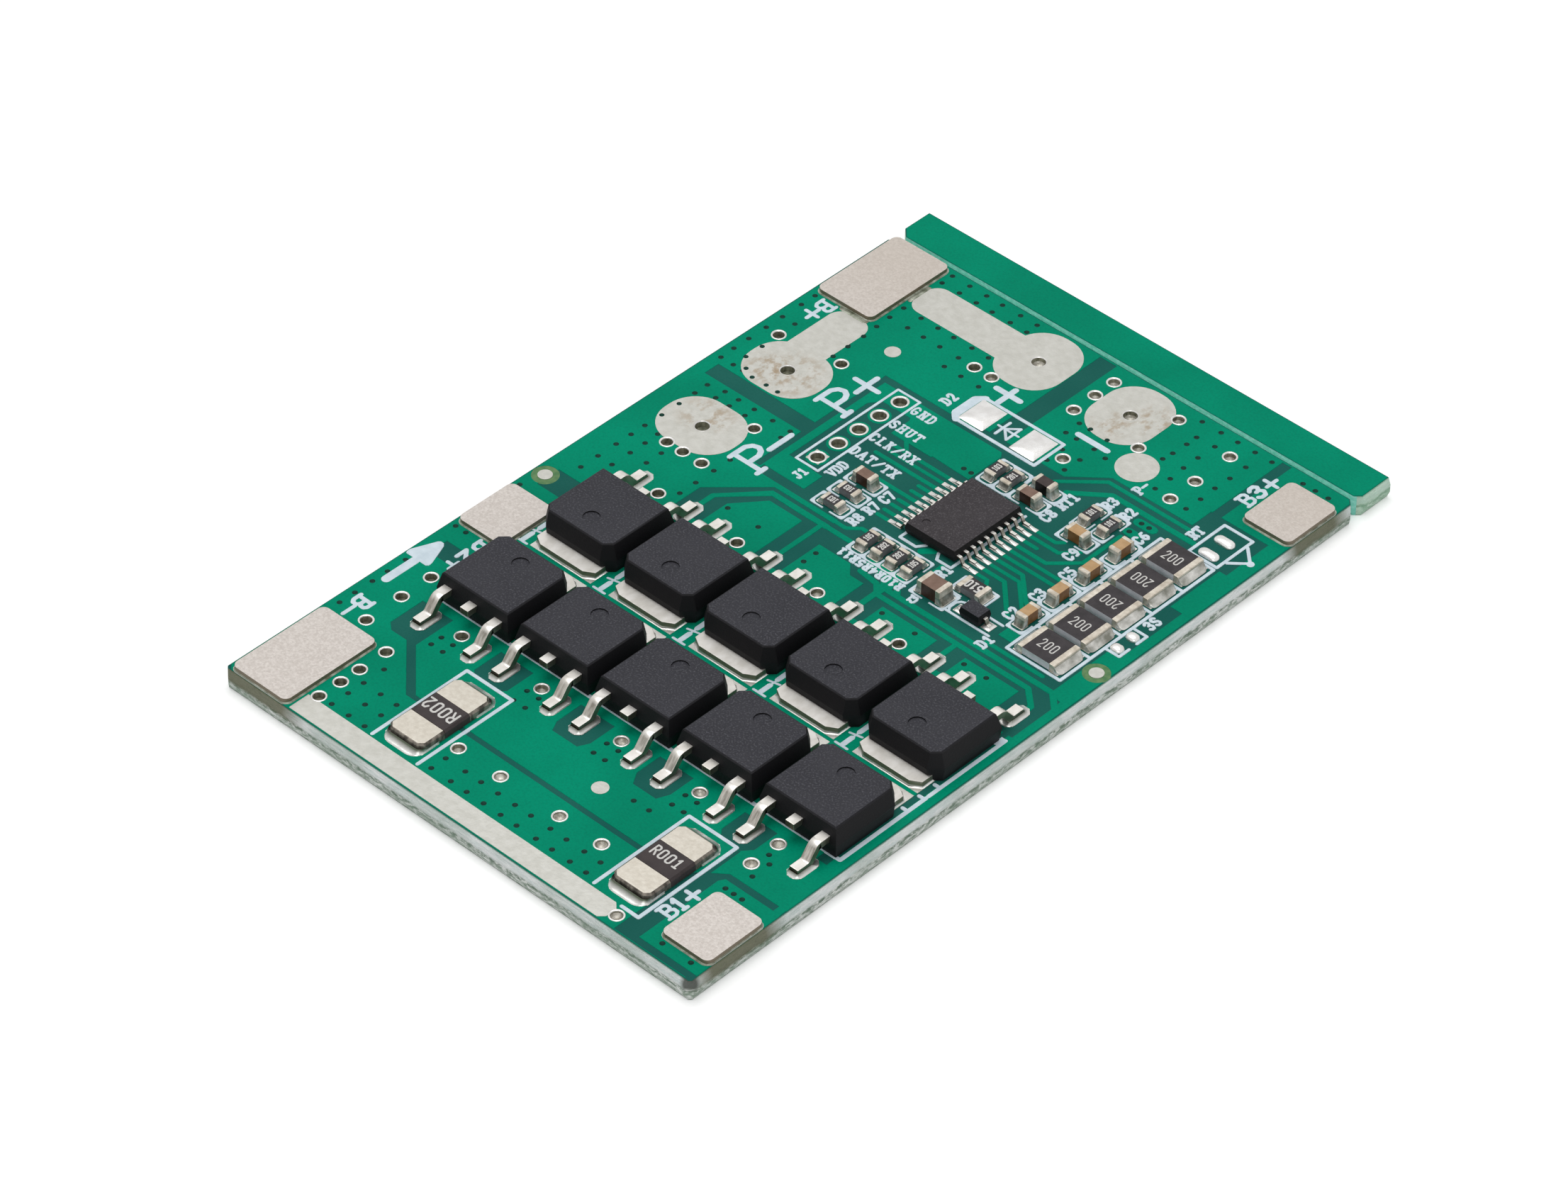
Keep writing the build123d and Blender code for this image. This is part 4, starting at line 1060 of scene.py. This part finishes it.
# the print stops at the lands of the balance resistors and of the diode
lands = [rounded(balance_x + end * 1.5, y, 0.9, 2.72, 0.2) for y in balance_y for end in (-1, 1)]
lands += [rounded(diode_x + end * 1.2, diode_y, 0.9, 0.95, 0.2) for end in (-1, 1)]
print_shapes = []
for adds, outlines in ((True, boxes), (False, openings), (True, ink), (False, lands)):
    print_shapes += [(adds, outline) for outline in outlines]
piece("white_print", sheet_of(print_shapes, POUR - 0.02, PRINT, 0.02), "silk", smooth=False)

# values on the components
marks = Soup()


def value(text, x, y, height, turn, level, width, pitch, wide=1.0):
    """A printed value on the top of a part, which stands at a level."""
    outlines = word(text, x, y, height, turn, width, pitch, wide=wide)
    made = sheet_of([(True, outline) for outline in outlines], level, level + 0.012, 0.01)
    marks.add(made.corners, made.faces)


value("R002", 13.3, 6.08, 0.92, 180, LAND + 0.62, 0.14, 0.78)
value("R001", 32.85, 6.35, 0.8, 0, LAND + 0.62, 0.12, 0.78)
for y, turn in zip(balance_y, (0, 0, 180, 180, 0)):
    value("200", balance_x, y - 0.02, 0.8, turn, LAND + 0.55, 0.075, 0.64, 0.78)
for text, x, y, turn in (
    ("103", 16.7, 39.85, 180), ("103", 16.7, 38.3, 180), ("105", 20.95, 37.15, 90), ("202", 22.26, 37.15, 90),
    ("202", 23.57, 37.15, 90), ("105", 24.88, 37.15, 90), ("103", 22.2, 48.18, 90), ("201", 23.55, 48.18, 90),
    ("101", 29.67, 49.05, 90), ("101", 31.28, 49.05, 90),
):
    value(text, x, y, 0.42, turn, LAND + 0.45, 0.07, 0.56, 0.7)
value("510", 29.2, 38.24, 0.66, 180, LAND + 0.5, 0.12, 0.66, 0.85)
piece("value_marks", marks, "mark", smooth=False)


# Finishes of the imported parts: the first words found in a node's name decide

FINISH_OF = {
    "circuit_board": "board", "bare_lands": "land", "soldered_lands": "joint_land", "_tab": "nickel",
    "controller_body": "controller", "_body": "moulding", "_leads": "leads", "shunt_band": "band",
    "shunt_terminals": "shunt", "terminals": "terminal", "thermistor": "thermistor",
    "tan_capacitor": "tan", "brown_capacitor": "brown", "middle_capacitor": "brown",
    "small_resistor": "small_resistor", "middle_resistor": "small_resistor",
    "balance_resistor": "resistor",
}
SOFT_EDGES = {"nickel": 0.06, "shunt": 0.05, "terminal": 0.05, "leads": 0.035, "moulding": 0.03}

for name, item in nodes.items():
    if name == "solder_beads":
        continue
    finish = next(FINISH_OF[words] for words in FINISH_OF if words in name)
    item.data.materials.clear()
    item.data.materials.append(finishes[finish])
    if finish in SOFT_EDGES:
        weld = item.modifiers.new("weld", "WELD")
        weld.merge_threshold = 1e-6
        round_edges = item.modifiers.new("round_edges", "BEVEL")
        round_edges.width = SOFT_EDGES[finish] * MM
        round_edges.segments = 2
        round_edges.limit_method = "ANGLE"
        round_edges.angle_limit = math.radians(30)
        round_edges.harden_normals = True


# Floor, light and camera

pale = bpy.data.materials.new("pale_floor")
wiring = Wiring(pale)
shader = wiring.tree.nodes["Principled BSDF"]
shader.inputs["Base Color"].default_value = (0.9, 0.9, 0.9, 1)
shader.inputs["Roughness"].default_value = 0.9
shader.inputs["Specular IOR Level"].default_value = 0.1
shader.inputs["Emission Color"].default_value = (1, 1, 1, 1)
# lifts the floor to white for the camera alone
path = wiring.node("ShaderNodeLightPath").outputs
wiring.link(wiring.math("MULTIPLY", path["Is Camera Ray"], 0.3), shader.inputs["Emission Strength"])

mesh = bpy.data.meshes.new("floor")
# just below the board, so that the two faces don't coincide
under = -0.02 * MM
mesh.from_pydata([(-3, -3, under), (3, -3, under), (3, 3, under), (-3, 3, under)], [], [(0, 1, 2, 3)])
mesh.materials.append(pale)
floor = bpy.data.objects.new("floor", mesh)
scene.collection.objects.link(floor)

# a white background, nearly as bright in reflections, over a plain level of light
LIGHT = 0.42
MIRRORED = 0.82
world = bpy.data.worlds.new("studio")
scene.world = world
wiring = Wiring(world)
background = wiring.tree.nodes["Background"]
background.inputs["Color"].default_value = (1, 1, 1, 1)
path = wiring.node("ShaderNodeLightPath").outputs
seen = wiring.math("MAXIMUM", path["Is Camera Ray"], path["Is Transmission Ray"])
seen = wiring.math("MAXIMUM", seen, wiring.math("MULTIPLY", path["Is Glossy Ray"], MIRRORED))
wiring.link(wiring.math("MAXIMUM", seen, LIGHT), background.inputs["Strength"])


def softbox(name, place, size, power):
    """A square soft lamp at a place, facing the part."""
    data = bpy.data.lights.new(name, "AREA")
    data.size = size
    data.energy = power
    lamp = bpy.data.objects.new(name, data)
    lamp.location = place
    lamp.rotation_euler = (-Vector(place)).to_track_quat("-Z", "Y").to_euler()
    scene.collection.objects.link(lamp)


softbox("overhead", (-0.12, 0.05, 0.6), 0.45, 1.75)
softbox("front", (0.4, -0.4, 0.35), 0.3, 0.6)

# the camera solved from the board's corners and edges in the photograph
camera_data = bpy.data.cameras.new("camera")
camera_data.lens = 144.35
camera_data.sensor_width = 36
camera_data.sensor_fit = "HORIZONTAL"
camera_data.clip_start = 0.01
camera = bpy.data.objects.new("camera", camera_data)
camera.location = (0.2093206, -0.2256102, 0.2656822)
forward = Vector((-0.51833, 0.55099, -0.65402))
camera.rotation_mode = "QUATERNION"
roll = Quaternion((0, 0, 1), math.radians(0.527))
camera.rotation_quaternion = forward.to_track_quat("-Z", "Y") @ roll
scene.collection.objects.link(camera)
scene.camera = camera
scene.view_settings.view_transform = "Standard"

bpy.context.view_layer.update()
